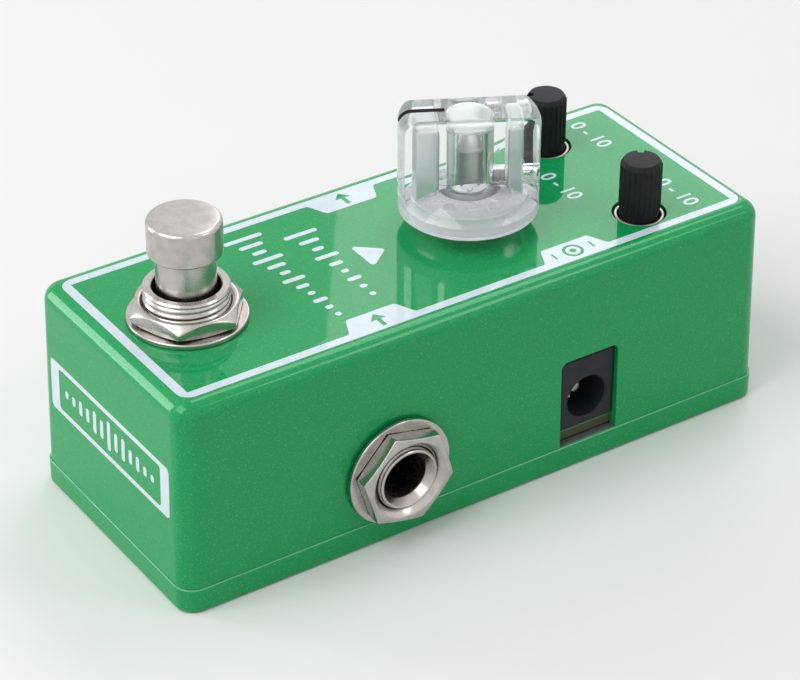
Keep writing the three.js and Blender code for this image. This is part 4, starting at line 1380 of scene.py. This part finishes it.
@dataclass
class ClearKnob:
    """The clear bar knob over its pot, with its painted pointer."""

    radius: float = 9.7
    sides: int = 160
    skirt_top: float = 5.8
    skirt_curve: float = 13.9
    bar_half: float = 3.46
    end_round: float = 1.9
    bar_edge: float = 0.45
    disc_edge: float = 0.35
    boss: float = 4.0
    bore: float = 3.25
    bore_roof: float = 1.65
    recess: float = 8.0
    recess_depth: float = 2.4
    pockets: tuple[Pocket, ...] = (Pocket(-1, 4.3, 7.85, 2.6), Pocket(1, 5.0, 7.3, 2.45))
    pocket_roof: float = 1.6
    pocket_edge: float = 0.6
    pocket_corner: float = 0.5
    pin_mark: float = 0.85
    pin_sink: float = 0.15
    pin_places: tuple[tuple[float, float], ...] = ((-3.0, -5.2), (-0.2, -5.15), (2.7, -5.4))
    screw_hole: float = 1.5
    screw_reach: float = 12.0
    line_width: float = 0.8
    line_from: float = 3.4
    line_bend: float = 70.0
    line_lift: float = 0.05
    line_sunk: float = 0.03

    def build(self) -> None:
        """Makes the knob and its pointer. The knob is what a round disc shares with a bar on a skirt."""
        space, radius = reach("time_knob"), self.radius
        x, y, _ = space.middle
        bottom, top = space.low[2], space.high[2]
        knob = Shape.soft([
            (radius / 2, bottom, 0), (radius, bottom, self.disc_edge), (radius, top, self.end_round),
            (radius / 2, top, 0)], self.sides, 8).object("time_knob_clear")
        envelope = Shape.block(
            radius + CUT_PAST, self.bar_half, bottom - CUT_PAST, top, self.bar_edge * 2,
            self.bar_edge).object("envelope")
        combine(envelope, "UNION", [self.skirt(bottom)])
        combine(knob, "INTERSECT", [envelope])
        combine(knob, "DIFFERENCE", self.hollows(bottom, top))
        set_down(knob, KNOB_TURN, (x, y, 0))
        clear = ClearAcrylic(
            "clear_acrylic", (x, y, bottom), KNOB_TURN, self.bore + 0.1,
            top - bottom - self.pocket_roof + 0.12, (self.recess + 0.1, self.recess_depth), self.pockets)
        present(knob, Body.TIME, Slot.CLEAR, ["time_knob"], 0.12, clear.material())
        self.pointer(x, y, top)

    def skirt(self, bottom: float) -> Shape:
        """The round skirt, whose top is part of a sphere: its height at a distance from the axis is the
        sphere's middle height plus the root of the sphere's radius squared less that distance squared.

        Args:
            bottom: The height of its underside.

        Returns:
            The skirt, past the knob's own radius and underside.
        """
        out = np.linspace(self.radius + CUT_PAST, 1.0, 40)
        rise = bottom + self.skirt_top - self.skirt_curve + np.sqrt(self.skirt_curve ** 2 - out ** 2)
        foot = [(1.0, bottom - CUT_PAST), (self.radius + CUT_PAST, bottom - CUT_PAST)]
        return Shape.turned(np.concatenate([foot, np.column_stack([out, rise])]), self.sides)

    def pocket(self, pocket: Pocket, bottom: float, top: float) -> Shape:
        """What a pocket takes away: a flat near wall, two flat sides, a far wall round the knob's axis and
        a roof with a round edge.

        Args:
            pocket: The pocket.
            bottom: The height of the knob's underside.
            top: The height of the knob's top.

        Returns:
            The pocket's shape.
        """
        rings = []
        foot, roof, edge = bottom - CUT_PAST, top - self.pocket_roof, self.pocket_edge
        for inset, height in softened([(0, foot, 0), (0, roof, edge), (edge * 1.5, roof, 0)]):
            near, far, half = pocket.near + inset, pocket.far - inset, pocket.half - inset
            swing = math.asin(half / far)
            wall = [(far * math.cos(a), far * math.sin(a), 0) for a in np.linspace(-swing, swing, 13)]
            corner = max(self.pocket_corner - inset, 0.05)
            outline = softened([(near, -half, corner), *wall, (near, half, corner)], 5, True)
            rings.append(level(outline, height))
        return Shape.rings(np.stack(rings)).spun(0 if pocket.side > 0 else 180)

    def hollows(self, bottom: float, top: float) -> list[Shape]:
        """What the bore, the recess, the pockets, the screw's hole and the moulding pins' marks take away.

        Args:
            bottom: The height of the knob's underside.
            top: The height of its top.

        Returns:
            One shape for each.
        """
        roof, deep = top - self.bore_roof, bottom + self.recess_depth
        bore = Shape.soft([
            (self.bore / 2, bottom - CUT_PAST, 0), (self.bore, bottom - CUT_PAST, 0),
            (self.bore, roof, 0.4), (self.bore / 2, roof, 0)])
        recess = Shape.tube(self.boss, self.recess, bottom - CUT_PAST, deep, (0, 0, 0.3, 0.2))
        hole = Shape.rod(self.screw_hole, 0.0, self.screw_reach, SMALL_SIDES).spun(90, "Y")
        pin = Shape.soft([
            (0.2, bottom, 0), (self.pin_mark, bottom, 0), (self.pin_mark, deep + self.pin_sink, 0.08),
            (0.2, deep + self.pin_sink, 0)], 32)
        marks = [pin.moved(x, y * side) for x, y in self.pin_places for side in (1, -1)]
        pockets = [self.pocket(pocket, bottom, top) for pocket in self.pockets]
        return [bore, recess, *pockets, hole.moved(0, 0, panel_height() + GRUB_SCREW_HEIGHT), *marks]

    def pointer(self, x: float, y: float, top: float) -> None:
        """The pointer: a strip that follows the bar's top and bends down over its round end.

        Args:
            x: The knob's axis.
            y: The knob's axis.
            top: The height of its top.
        """
        bend = np.linspace(0, math.radians(self.line_bend), 12)
        run = np.concatenate([
            [self.line_from], self.radius - self.end_round + self.end_round * np.sin(bend)])
        rise = np.concatenate([[top], top - self.end_round * (1 - np.cos(bend))])
        out = np.concatenate([[0], np.sin(bend)])
        up = np.concatenate([[1], np.cos(bend)])
        half = self.line_width / 2
        rings = [
            np.column_stack([-(run + out * lift), np.full(len(run), sideways), rise + up * lift])
            for sideways, lift in (
                (half, -self.line_sunk), (-half, -self.line_sunk), (-half, self.line_lift),
                (half, self.line_lift))]
        strip = Shape.rings(np.stack(rings, axis=1)).spun(KNOB_TURN).moved(x, y)
        present(strip.object("time_knob_pointer"), Body.TIME, Slot.BLACK, material=MARK.material())


@dataclass(frozen=True)
class PotFrame:
    """A pot's metal frame: the bushing that stands on a plate, with the bore through both."""

    outer: float = 3.5
    bore: float = 3.06
    plate: float = 1.0
    plate_corner: float = 0.3

    def build(self, name: str, node: str, x: float, y: float) -> None:
        """Makes the frame.

        Args:
            name: The piece's name.
            node: The node that it stands for.
            x: The pot's place.
            y: The pot's place.
        """
        space = reach(node)
        bottom, top = space.low[2], space.high[2]
        barrel = Shape.tube(self.bore, self.outer, bottom, top, (0, 0, 0.15, 0.12))
        piece = barrel.moved(x, y).object(name)
        plate = Shape.block(*space.half[:2], bottom, bottom + self.plate, self.plate_corner)
        plate = plate.moved(x, y).object("plate")
        bore = Shape.rod(self.bore + 0.02, bottom - CUT_PAST, bottom + 2 * self.plate)
        combine(plate, "DIFFERENCE", [bore.moved(x, y)])
        combine(piece, "UNION", [plate])
        present(piece, Body.PEDAL, Slot.ZINC, [node])


@dataclass
class TimePot:
    """What shows of the pot and the grub screw in the clear knob."""

    shaft: float = 3.0
    flat: float = 0.4
    flat_from: float = 2.45
    nut: Nut = Nut(9.8, 0.6, 3.6, 0.2, 10)
    washer: float = 3.6
    clearance: float = 3.65
    screw: Thread = Thread(1.4, 0.22, 0.5)
    screw_start: float = 2.7
    screw_length: float = 2.1
    socket: float = 0.75
    socket_depth: float = 0.9

    def hole(self) -> Shape:
        """The panel hole round the pot."""
        return panel_hole(self.clearance, 0, reach("time_knob").middle[1])

    def build(self) -> None:
        """Makes the shaft, grub screw, bushing, nut and washer."""
        x, y, _ = reach("time_knob").middle
        panel = panel_height()
        space = reach("time_pot_shaft")
        bottom, top = space.low[2], space.high[2]
        shaft = Shape.soft([
            (1.0, bottom, 0), (self.shaft, bottom, 0.2), (self.shaft, top, 0.3),
            (1.0, top, 0)]).object("time_shaft")
        flat = Shape.block(self.shaft, self.shaft * 2, panel + self.flat_from, top + CUT_PAST, 0.1)
        combine(shaft, "DIFFERENCE", [flat.moved(self.shaft * 2 - self.flat)])
        set_down(shaft, KNOB_TURN, (x, y, 0))
        present(shaft, Body.TIME, Slot.STEEL, ["time_pot_shaft"], 0.06)
        self.grub_screw(x, y, panel)
        PotFrame().build("time_bushing", "time_pot_frame", x, y)
        space = reach("time_pot_nut")
        nut = self.nut.shape(space.low[2], space.high[2]).moved(x, y).object("time_nut")
        present(nut, Body.PEDAL, Slot.STEEL, ["time_pot_nut"], 0.08)
        space = reach("time_pot_washer")
        washer = Shape.tube(
            self.washer, space.half[0], space.low[2], space.high[2], (0, 0.05, 0.1, 0.05), steps=3)
        present(
            washer.moved(x, y).object("time_washer"), Body.PEDAL, Slot.STEEL, ["time_pot_washer"])

    def grub_screw(self, x: float, y: float, panel: float) -> None:
        """The threaded grub screw on the side away from the pointer, with a hexagon socket.

        Args:
            x: The knob's axis.
            y: The knob's axis.
            panel: The panel's height.
        """
        start, end = self.screw_start, self.screw_start + self.screw_length
        screw = self.screw.shape(
            [(0.6, start), (1.1, start)], np.linspace(start + 0.15, end - 0.1, 60),
            [(1.15, end), (self.socket, end)], SMALL_SIDES, closed=False).object("time_grub_screw")
        combine(screw, "DIFFERENCE", [Shape.rod(self.socket, end - self.socket_depth, end + CUT_PAST, 6)])
        screw.data.transform(Matrix.Rotation(math.radians(90), 4, "Y"))
        set_down(screw, KNOB_TURN, (x, y, panel + GRUB_SCREW_HEIGHT))
        present(screw, Body.TIME, Slot.STEEL, ["time_knob_grub_screw"])


@dataclass
class SlimDial:
    """A slim fluted dial in its panel hole.

    Attributes:
        name: Its pot's name.
        body: The body that it rides on.
        turn: The angle of its notch from +X, in degrees.
        notch: The notch's length to each side of the rim, half width and depth.
    """

    name: str
    body: Body
    turn: float
    radius: float = 2.93
    flutes: int = 24
    flute_sides: int = 12
    flute_depth: float = 0.16
    flute_from: float = 1.0
    edge: float = 0.45
    edge_drop: float = 0.7
    notch: tuple[float, float, float] = (1.1, 0.45, 0.9)
    clearance: float = 3.8

    def place(self) -> tuple[float, float]:
        """The dial's axis."""
        x, y, _ = reach(f"{self.name}_pot_frame").middle
        return x, y

    def hole(self) -> Shape:
        """The panel hole round this dial."""
        return panel_hole(self.clearance, *self.place())

    def build(self) -> None:
        """Makes the dial and its bushing. The dial's radius dips between ribs by a cosine of the angle,
        and the dips end at the bevel round the top."""
        x, y = self.place()
        PotFrame().build(f"{self.name}_bushing", f"{self.name}_pot_frame", x, y)
        node = f"{self.name}_pot_shaft"
        space, start = reach(node), panel_height() + self.flute_from
        bottom, top = space.low[2], space.high[2]
        angle = circle(self.flutes * self.flute_sides)
        root = self.radius - self.flute_depth
        across, rise = softened([
            (1.0, bottom, 0), (root, bottom, 0), (root, start - 0.1, 0), (self.radius, start, 0),
            (self.radius, top - self.edge_drop, 0.15), (self.radius - self.edge, top, 0.12),
            (1.0, top, 0)], 4).T[:, :, None]
        fluted = (rise > start - 0.05) & (across > self.radius - self.edge * 0.9)
        dip = self.flute_depth * (0.5 - 0.5 * np.cos(angle * self.flutes)) ** 0.7
        dial = Shape.rings(around(across - dip * fluted, rise, angle))
        dial = dial.spun(self.turn).moved(x, y).object(f"{self.name}_dial")
        length, half, depth = self.notch
        notch = Shape.block(length, half, top - depth, top + CUT_PAST, 0.1).moved(self.radius)
        combine(dial, "DIFFERENCE", [notch.spun(self.turn).moved(x, y)])
        present(dial, self.body, Slot.BLACK, [node])


@dataclass
class Jack:
    """A plug jack in a side wall: washer, nut, threaded bushing and the body behind them.

    Attributes:
        name: input or output.
        side: 1 on the right wall, -1 on the left.
    """

    name: str
    side: int
    thread: Thread = Thread(4.6, 0.22, 0.75)
    bore: float = 3.25
    spigot: float = 4.2
    shoulder: float = 3.05
    body_bore: float = 3.0
    washer: float = 4.7
    nut: Nut = Nut(12.6, 0.3, 4.7, 0.95, 17.3)
    clearance: float = 4.85
    wall: tuple[float, float] = (15.0, 22.0)
    slot_half: float = 1.5
    slot_gap: float = 0.6

    def node(self, part: str) -> str:
        """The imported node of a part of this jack."""
        return f"{self.name}_jack_{part}"

    def axis(self) -> tuple[float, float]:
        """The plug's line: its Y and its height."""
        _, y, z = reach(self.node("washer")).middle
        return y, z

    def outwards(self, shape: Shape) -> Shape:
        """A shape made along Z, laid along the plug's line towards the outside."""
        return shape.spun(90 * self.side, "Y").moved(0, *self.axis())

    def span(self, part: str) -> tuple[float, float]:
        """Where a part of the jack starts and ends along the plug's line.

        Args:
            part: The part's name.

        Returns:
            The two places, measured outwards.
        """
        space = reach(self.node(part))
        start, end = sorted((space.low[0] * self.side, space.high[0] * self.side))
        return start, end

    def hole(self) -> Shape:
        """The hole in the wall."""
        return self.outwards(Shape.rod(self.clearance, *self.wall))

    def plated(self, shape: Shape, part: str, edge: float = 0.0) -> None:
        """Presents a plated part.

        Args:
            shape: Its shape, made along Z.
            part: Its name.
            edge: The width of the small bevel on its sharp edges.
        """
        piece = self.outwards(shape).object(f"{self.name}_{part}")
        present(piece, Body.PEDAL, Slot.NICKEL, [self.node(part)], edge)

    def build(self) -> None:
        """Makes the visible pieces."""
        outer = reach(self.node("washer")).high[2] - self.axis()[1]
        washer = Shape.tube(
            self.washer, outer, *self.span("washer"), (0, 0.1, 0.18, 0.1), PLATED_SIDES)
        self.plated(washer, "washer")
        self.plated(self.nut.shape(*self.span("nut")), "nut", 0.1)
        self.plated(self.bushing(), "bushing", 0.06)
        self.body_block()

    def bushing(self) -> Shape:
        """The bushing: threaded outside, with a funnel into its plain bore.

        Returns:
            Its shape, along Z.
        """
        start, end = self.span("bushing")
        shoulder = start + self.shoulder
        radius, bore = self.thread.radius, self.bore
        return self.thread.shape(
            [(self.spigot, start), (self.spigot, shoulder), (radius, shoulder)],
            np.linspace(shoulder + 0.1, end - 0.35, 60),
            [(radius - 0.18, end - 0.12), (radius - 0.3, end), (radius - 0.52, end),
             (radius - 0.62, end - 0.2), (bore + 0.12, end - 1.1), (bore, end - 1.4), (bore, start)])

    def body_block(self) -> None:
        """The moulded body behind the bushing, with the plug's bore and the contact's slot."""
        node = self.node("body")
        space, contact = reach(node), reach(self.node("tip_contact"))
        start, end = self.span("body")
        low, high = space.low[2], space.high[2]
        block = Shape.block(*space.half[:2], low, high, 0.4, 0.2).moved(*space.middle[:2])
        piece = block.object(f"{self.name}_body")
        bore = Shape.rod(self.bore, start + self.body_bore, end + CUT_PAST)
        seat = Shape.rod(self.spigot + 0.1, end - self.shoulder, end + CUT_PAST)
        slot = Shape.block(
            contact.half[0] + self.slot_gap, self.slot_half, self.axis()[1], high + CUT_PAST, 0.1)
        combine(piece, "DIFFERENCE", [
            self.outwards(bore), self.outwards(seat), slot.moved(*contact.middle[:2])])
        present(piece, Body.PEDAL, Slot.BLACK, [node])


@dataclass
class PowerSocket:
    """The power socket that fills the notch, with its centre pin."""

    hole: float = 3.2
    hole_height: float = 10.1
    hole_depth: float = 9.5
    bevel: float = 0.3
    pin: float = 1.05
    pin_end: float = 5.0
    leaf_gap: float = 0.1
    leaf_half: float = 0.45

    def outwards(self, shape: Shape, y: float) -> Shape:
        """A shape made along Z, laid along the plug's line towards the outside."""
        return shape.spun(90, "Y").moved(0, y, self.hole_height)

    def build(self) -> None:
        """Makes the body and the pin."""
        space = reach("power_socket_body")
        x, y, _ = space.middle
        back, face = space.low[0], space.high[0]
        block = Shape.block(*space.half[:2], space.low[2], space.high[2], 0.3, 0.2)
        piece = block.moved(x, y).object("power_socket")
        wide = self.hole + self.bevel
        mouth = Shape.soft([
            (self.hole, face - self.hole_depth, 0), (self.hole, face - 0.25, 0), (wide, face + 0.05, 0),
            (wide, face + CUT_PAST, 0)])
        pin_hole = Shape.rod(self.pin + 0.1, back - CUT_PAST, face - self.pin_end, SMALL_SIDES)
        leaf = reach("power_socket_sleeve_contact")
        leaf_rise = leaf.half[2] + self.leaf_gap
        slot = Shape.block(
            leaf.half[0] + self.leaf_gap, self.leaf_half, leaf.middle[2] - leaf_rise,
            leaf.middle[2] + leaf_rise, 0.05).moved(leaf.middle[0], leaf.middle[1] - 0.05)
        combine(piece, "DIFFERENCE", [self.outwards(mouth, y), self.outwards(pin_hole, y), slot])
        present(piece, Body.PEDAL, Slot.GREY, ["power_socket_body"], 0.05)
        space = reach("power_socket_centre_pin")
        start, end = space.low[0], space.high[0]
        pin = Shape.soft([
            (0.3, start, 0), (self.pin, start, 0.1), (self.pin, end, 0.5), (0.3, end, 0)], SMALL_SIDES, 6)
        present(
            self.outwards(pin, y).object("power_socket_pin"), Body.PEDAL, Slot.NICKEL,
            ["power_socket_centre_pin"])


@dataclass
class Prints:
    """The pale prints on the panel and on the front: border, tabs, symbols, echo bars and dial numbers.

    Attributes:
        numbers: Name, place and text of the numbers at each dial.
        echo_rows: Left and right end, height at each end, tallest bar and number of bars of each row.
        echo_heights: The share of its row's height that a bar has, in turn.
        bar: Half width, least half height and corner of a bar.
        plate_lines: Half width, half height and corner of the front frame's two lines.
        plate_bars: The number of bars in the frame, and how tall the ends are and the middle besides.
        plate_reach: How far the row of bars reaches to each side.
    """

    thickness: float = 0.03
    lift: float = 0.006
    outer: tuple[float, float] = (16.5, 44.95)
    inner: tuple[float, float] = (15.2, 43.6)
    outer_corner: float = 1.9
    edge_steps: int = 1200
    tab_reach: float = 12.1
    tab_shoulder: float = 1.9
    tabs_right: tuple[tuple[float, float], ...] = ((-19.6, -8.7), (11.7, 22.7))
    tabs_left: tuple[tuple[float, float], ...] = ((-6.9, 4.5),)
    arrow_size: float = 1.53
    socket_rings: tuple[float, float, float] = (1.5, 1.05, 0.5)
    sign_gap: float = 3.1
    echo_rows: tuple[tuple[float, float, float, float, float, int], ...] = (
        (-9.5, 8.5, -11.3, -11.3, 5.2, 9), (-12.6, 10.2, -18.6, -17.8, 6.0, 12))
    echo_heights: tuple[float, float, float] = (1.0, 0.66, 0.42)
    echo_fade: float = 0.78
    bar: tuple[float, float, float] = (0.42, 0.45, 0.4)
    numbers: tuple[tuple[str, float, float], ...] = (
        ("level_numbers", -9.95, 38.2), ("repeat_numbers", 9.65, 38.5), ("time_numbers", -0.5, 26.0))
    number_text: str = "0 - 10"
    number_size: float = 3.3
    number_weight: float = 0.06
    plate_height: float = 17.5
    plate_lines: tuple[tuple[float, float, float], ...] = ((15.7, 3.9, 0.7), (13.5, 3.15, 0.5))
    plate_bars: tuple[int, float, float] = (13, 0.55, 1.75)
    plate_short: float = 0.6
    plate_corner: float = 0.38
    plate_reach: float = 11.4
    plate_draft: float = 0.5

    def build(self) -> None:
        """Makes every print."""
        ink = INK.material()
        self.flat("border_print", self.border(), ink)
        self.flat("arrow_print", [self.triangle()], ink)
        self.flat("echo_print", self.echo(), ink)
        for name, x, y in self.numbers:
            self.number(name, x, y, ink)
        self.flat("front_print", self.front_bars(), ink, self.front_wall)

    def border(self) -> list[Array]:
        """The border's outer and inner line and the marks that are left open in its tabs."""
        outer = rounded_outline(*self.outer, self.outer_corner)
        return [outer, self.inner_line()[::-1], *self.marks()]

    def inner_line(self) -> Array:
        """The border's inner line, anticlockwise. Along a tab's shoulder it moves in by the tab's depth
        times a smooth step of the place along the edge.

        Returns:
            The line's points.
        """
        half_x, half_y = self.inner
        y = np.linspace(-half_y, half_y, self.edge_steps)

        def edge(tabs: Iterable[tuple[float, float]]) -> Array:
            """How far in the line lies at each place along the edge.

            Args:
                tabs: Where each tab starts and ends.

            Returns:
                One distance for each place.
            """
            depth = np.zeros_like(y)
            for start, end in tabs:
                step = np.clip(np.minimum(y - start, end - y) / self.tab_shoulder, 0, 1)
                depth = np.maximum(depth, step * step * (3 - 2 * step))
            return depth * (half_x - self.tab_reach)

        right = np.column_stack([half_x - edge(self.tabs_right), y])
        left = np.column_stack([edge(self.tabs_left) - half_x, y])[::-1]
        return np.concatenate([right, left])

    def marks(self) -> list[Array]:
        """Arrow in, arrow out and a plug symbol, open in the tabs.

        Returns:
            The outline of each opening.
        """
        arrow = self.arrow_size * np.array([
            (1, -0.22), (-0.1, -0.22), (-0.1, -0.8), (-1, 0), (-0.1, 0.8), (-0.1, 0.22), (1, 0.22)])
        right = (self.tab_reach + self.outer[0]) / 2
        into, power = (np.array([right, np.mean(tab)]) for tab in self.tabs_right)
        out = np.array([-right, np.mean(self.tabs_left[0])])
        angle = circle(48)
        ring = np.column_stack([np.cos(angle), np.sin(angle)])
        wide, narrow, pin = self.socket_rings
        socket = [ring[::-1] * wide + power, ring * narrow + power, ring[::-1] * pin + power]
        minus = np.array([(-0.75, -0.16), (0.75, -0.16), (0.75, 0.16), (-0.75, 0.16)])[::-1]
        signs = [minus + power + (0, gap) for gap in (-self.sign_gap, self.sign_gap)]
        return [arrow[::-1] + into, arrow + out, *socket, *signs]

    def triangle(self) -> Array:
        """The triangle that points away from the player."""
        return softened([(-3.2, -7.5, 0.45), (3.0, -7.5, 0.45), (0.0, -3.7, 0.45)], 6, True)

    def echo(self) -> list[Array]:
        """Two slanted rows of upright bars that shrink from left to right, as repeats fade.

        Returns:
            The outline of each bar.
        """
        loops = []
        width, least, corner = self.bar
        for left, right, y_left, y_right, tall, count in self.echo_rows:
            for index in range(count):
                share = index / (count - 1)
                height = tall * (1 - self.echo_fade * share) * self.echo_heights[index % 3]
                bar = rounded_outline(width, max(height / 2, least), corner, 4)
                loops.append(bar + (left + (right - left) * share, y_left + (y_right - y_left) * share))
        return loops

    def front_bars(self) -> list[Array]:
        """A plain frame with a row of bars, highest in the middle.

        Returns:
            The outlines of the frame and of each bar.
        """
        outer, inner = (rounded_outline(*line, 6) for line in self.plate_lines)
        loops = [outer, inner[::-1]]
        count, low, rise = self.plate_bars
        for index, share in enumerate(np.linspace(-1, 1, count)):
            height = low + rise * (1 - abs(share)) * (self.plate_short if index % 2 else 1.0)
            bar = rounded_outline(self.bar[0], height, self.plate_corner, 4)
            loops.append(bar + (share * self.plate_reach, 0))
        return loops

    def front_wall(self, points: Array) -> Array:
        """Stands a print up against the front wall, which leans back by the draft as it rises.

        Args:
            points: The print's points as it lies flat.

        Returns:
            Their places on the wall.
        """
        space = reach("enclosure")
        height = points[:, 1] + self.plate_height
        wall = space.low[1] + self.plate_draft * (height - space.low[2]) / space.high[2]
        return np.column_stack([points[:, 0], wall - points[:, 2] - self.lift, height])

    def on_panel(self, points: Array) -> Array:
        """Lays a print on the panel."""
        return points + np.array([0, 0, panel_height() + self.lift])

    def flat(
        self, name: str, loops: Sequence[Array], ink: Material,
        lay: Callable[[Array], Array] | None = None,
    ) -> None:
        """A thin print with the given outlines, where an outline inside another is a hole.

        Args:
            name: The piece's name.
            loops: The outlines, on the print's own plane.
            ink: Its material.
            lay: Turns flat points into places on the surface, the panel's if none is given.
        """
        curve = bpy.data.curves.new(name, "CURVE")
        curve.dimensions = "2D"
        curve.fill_mode = "BOTH"
        for loop in loops:
            spline = curve.splines.new("POLY")
            spline.points.add(len(loop) - 1)
            flat_points = np.column_stack([loop * MM, np.zeros(len(loop)), np.ones(len(loop))])
            spline.points.foreach_set("co", flat_points.astype(np.float32).ravel())
            spline.use_cyclic_u = True
        self.ink_on(curve, ink, lay or self.on_panel)

    def number(self, name: str, x: float, y: float, ink: Material) -> None:
        """Plain dial numbers, centred on a place of the panel.

        Args:
            name: The piece's name.
            x: Their middle.
            y: Their middle.
            ink: Their material.
        """
        curve = bpy.data.curves.new(name, "FONT")
        curve.body = self.number_text
        curve.size = self.number_size * MM
        curve.align_x = "CENTER"
        curve.align_y = "CENTER"
        curve.offset = self.number_weight * MM
        self.ink_on(curve, ink, lambda points: self.on_panel(points) + np.array([x, y, 0]))

    def ink_on(
        self, curve: bpy.types.Curve, ink: Material, lay: Callable[[Array], Array]
    ) -> None:
        """Turns a flat curve or text into a print on its surface.

        Args:
            curve: The curve or text, which gives the piece its name.
            ink: Its material.
            lay: Turns flat points into places on the surface.
        """
        name = curve.name
        curve.extrude = self.thickness / 2 * MM
        made = linked(name, curve)
        bpy.context.view_layer.update()
        mesh = bpy.data.meshes.new_from_object(
            made.evaluated_get(bpy.context.evaluated_depsgraph_get()))
        bpy.data.objects.remove(made)
        points = np.empty(len(mesh.vertices) * 3, np.float32)
        mesh.vertices.foreach_get("co", points)
        points = lay(points.reshape(-1, 3) / MM)
        mesh.vertices.foreach_set("co", (points * MM).astype(np.float32).ravel())
        mesh.update()
        mesh.materials.clear()
        mesh.materials.append(ink)
        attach(linked(name, mesh), Body.PEDAL.value)
        log.info("%s: %d faces", name, len(mesh.polygons))


def dress_inner_nodes() -> None:
    """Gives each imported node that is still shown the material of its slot, and each board its own."""
    slots = {row["node"]: row["material_slot"] for row in frame["record"]["subparts"]}
    for name, node in frame["nodes"].items():
        if node.hide_render:
            continue
        slot = Slot(slots[name])
        if slot is Slot.BOARD:
            material = Laminate(f"{name}_laminate", float(reach(name).high[2])).material()
        else:
            material = slot_material(slot)
        node.data.materials.clear()
        node.data.materials.append(material)
        log.info("%s keeps its packed shape", name)


def main() -> None:
    logging.basicConfig(level=logging.INFO, format="%(message)s")
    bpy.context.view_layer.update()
    PhotoCamera().build()
    Stage().build()
    light = reach("knob_led").middle
    switch, pot = Footswitch(), TimePot()
    dials = [SlimDial("level", Body.LEVEL, 240.0), SlimDial("repeat", Body.REPEAT, 146.0)]
    jacks = [Jack("input", 1), Jack("output", -1)]
    holes = [switch.hole(), pot.hole(), panel_hole(LIGHT_HOLE, light[0], light[1])]
    Case().build([*holes, *(piece.hole() for piece in (*dials, *jacks))])
    for assembly in (switch, ReturnSpring(), ClearKnob(), pot, *dials, *jacks, PowerSocket(), Prints()):
        assembly.build()
    dress_inner_nodes()


if __name__ == "__main__":
    main()
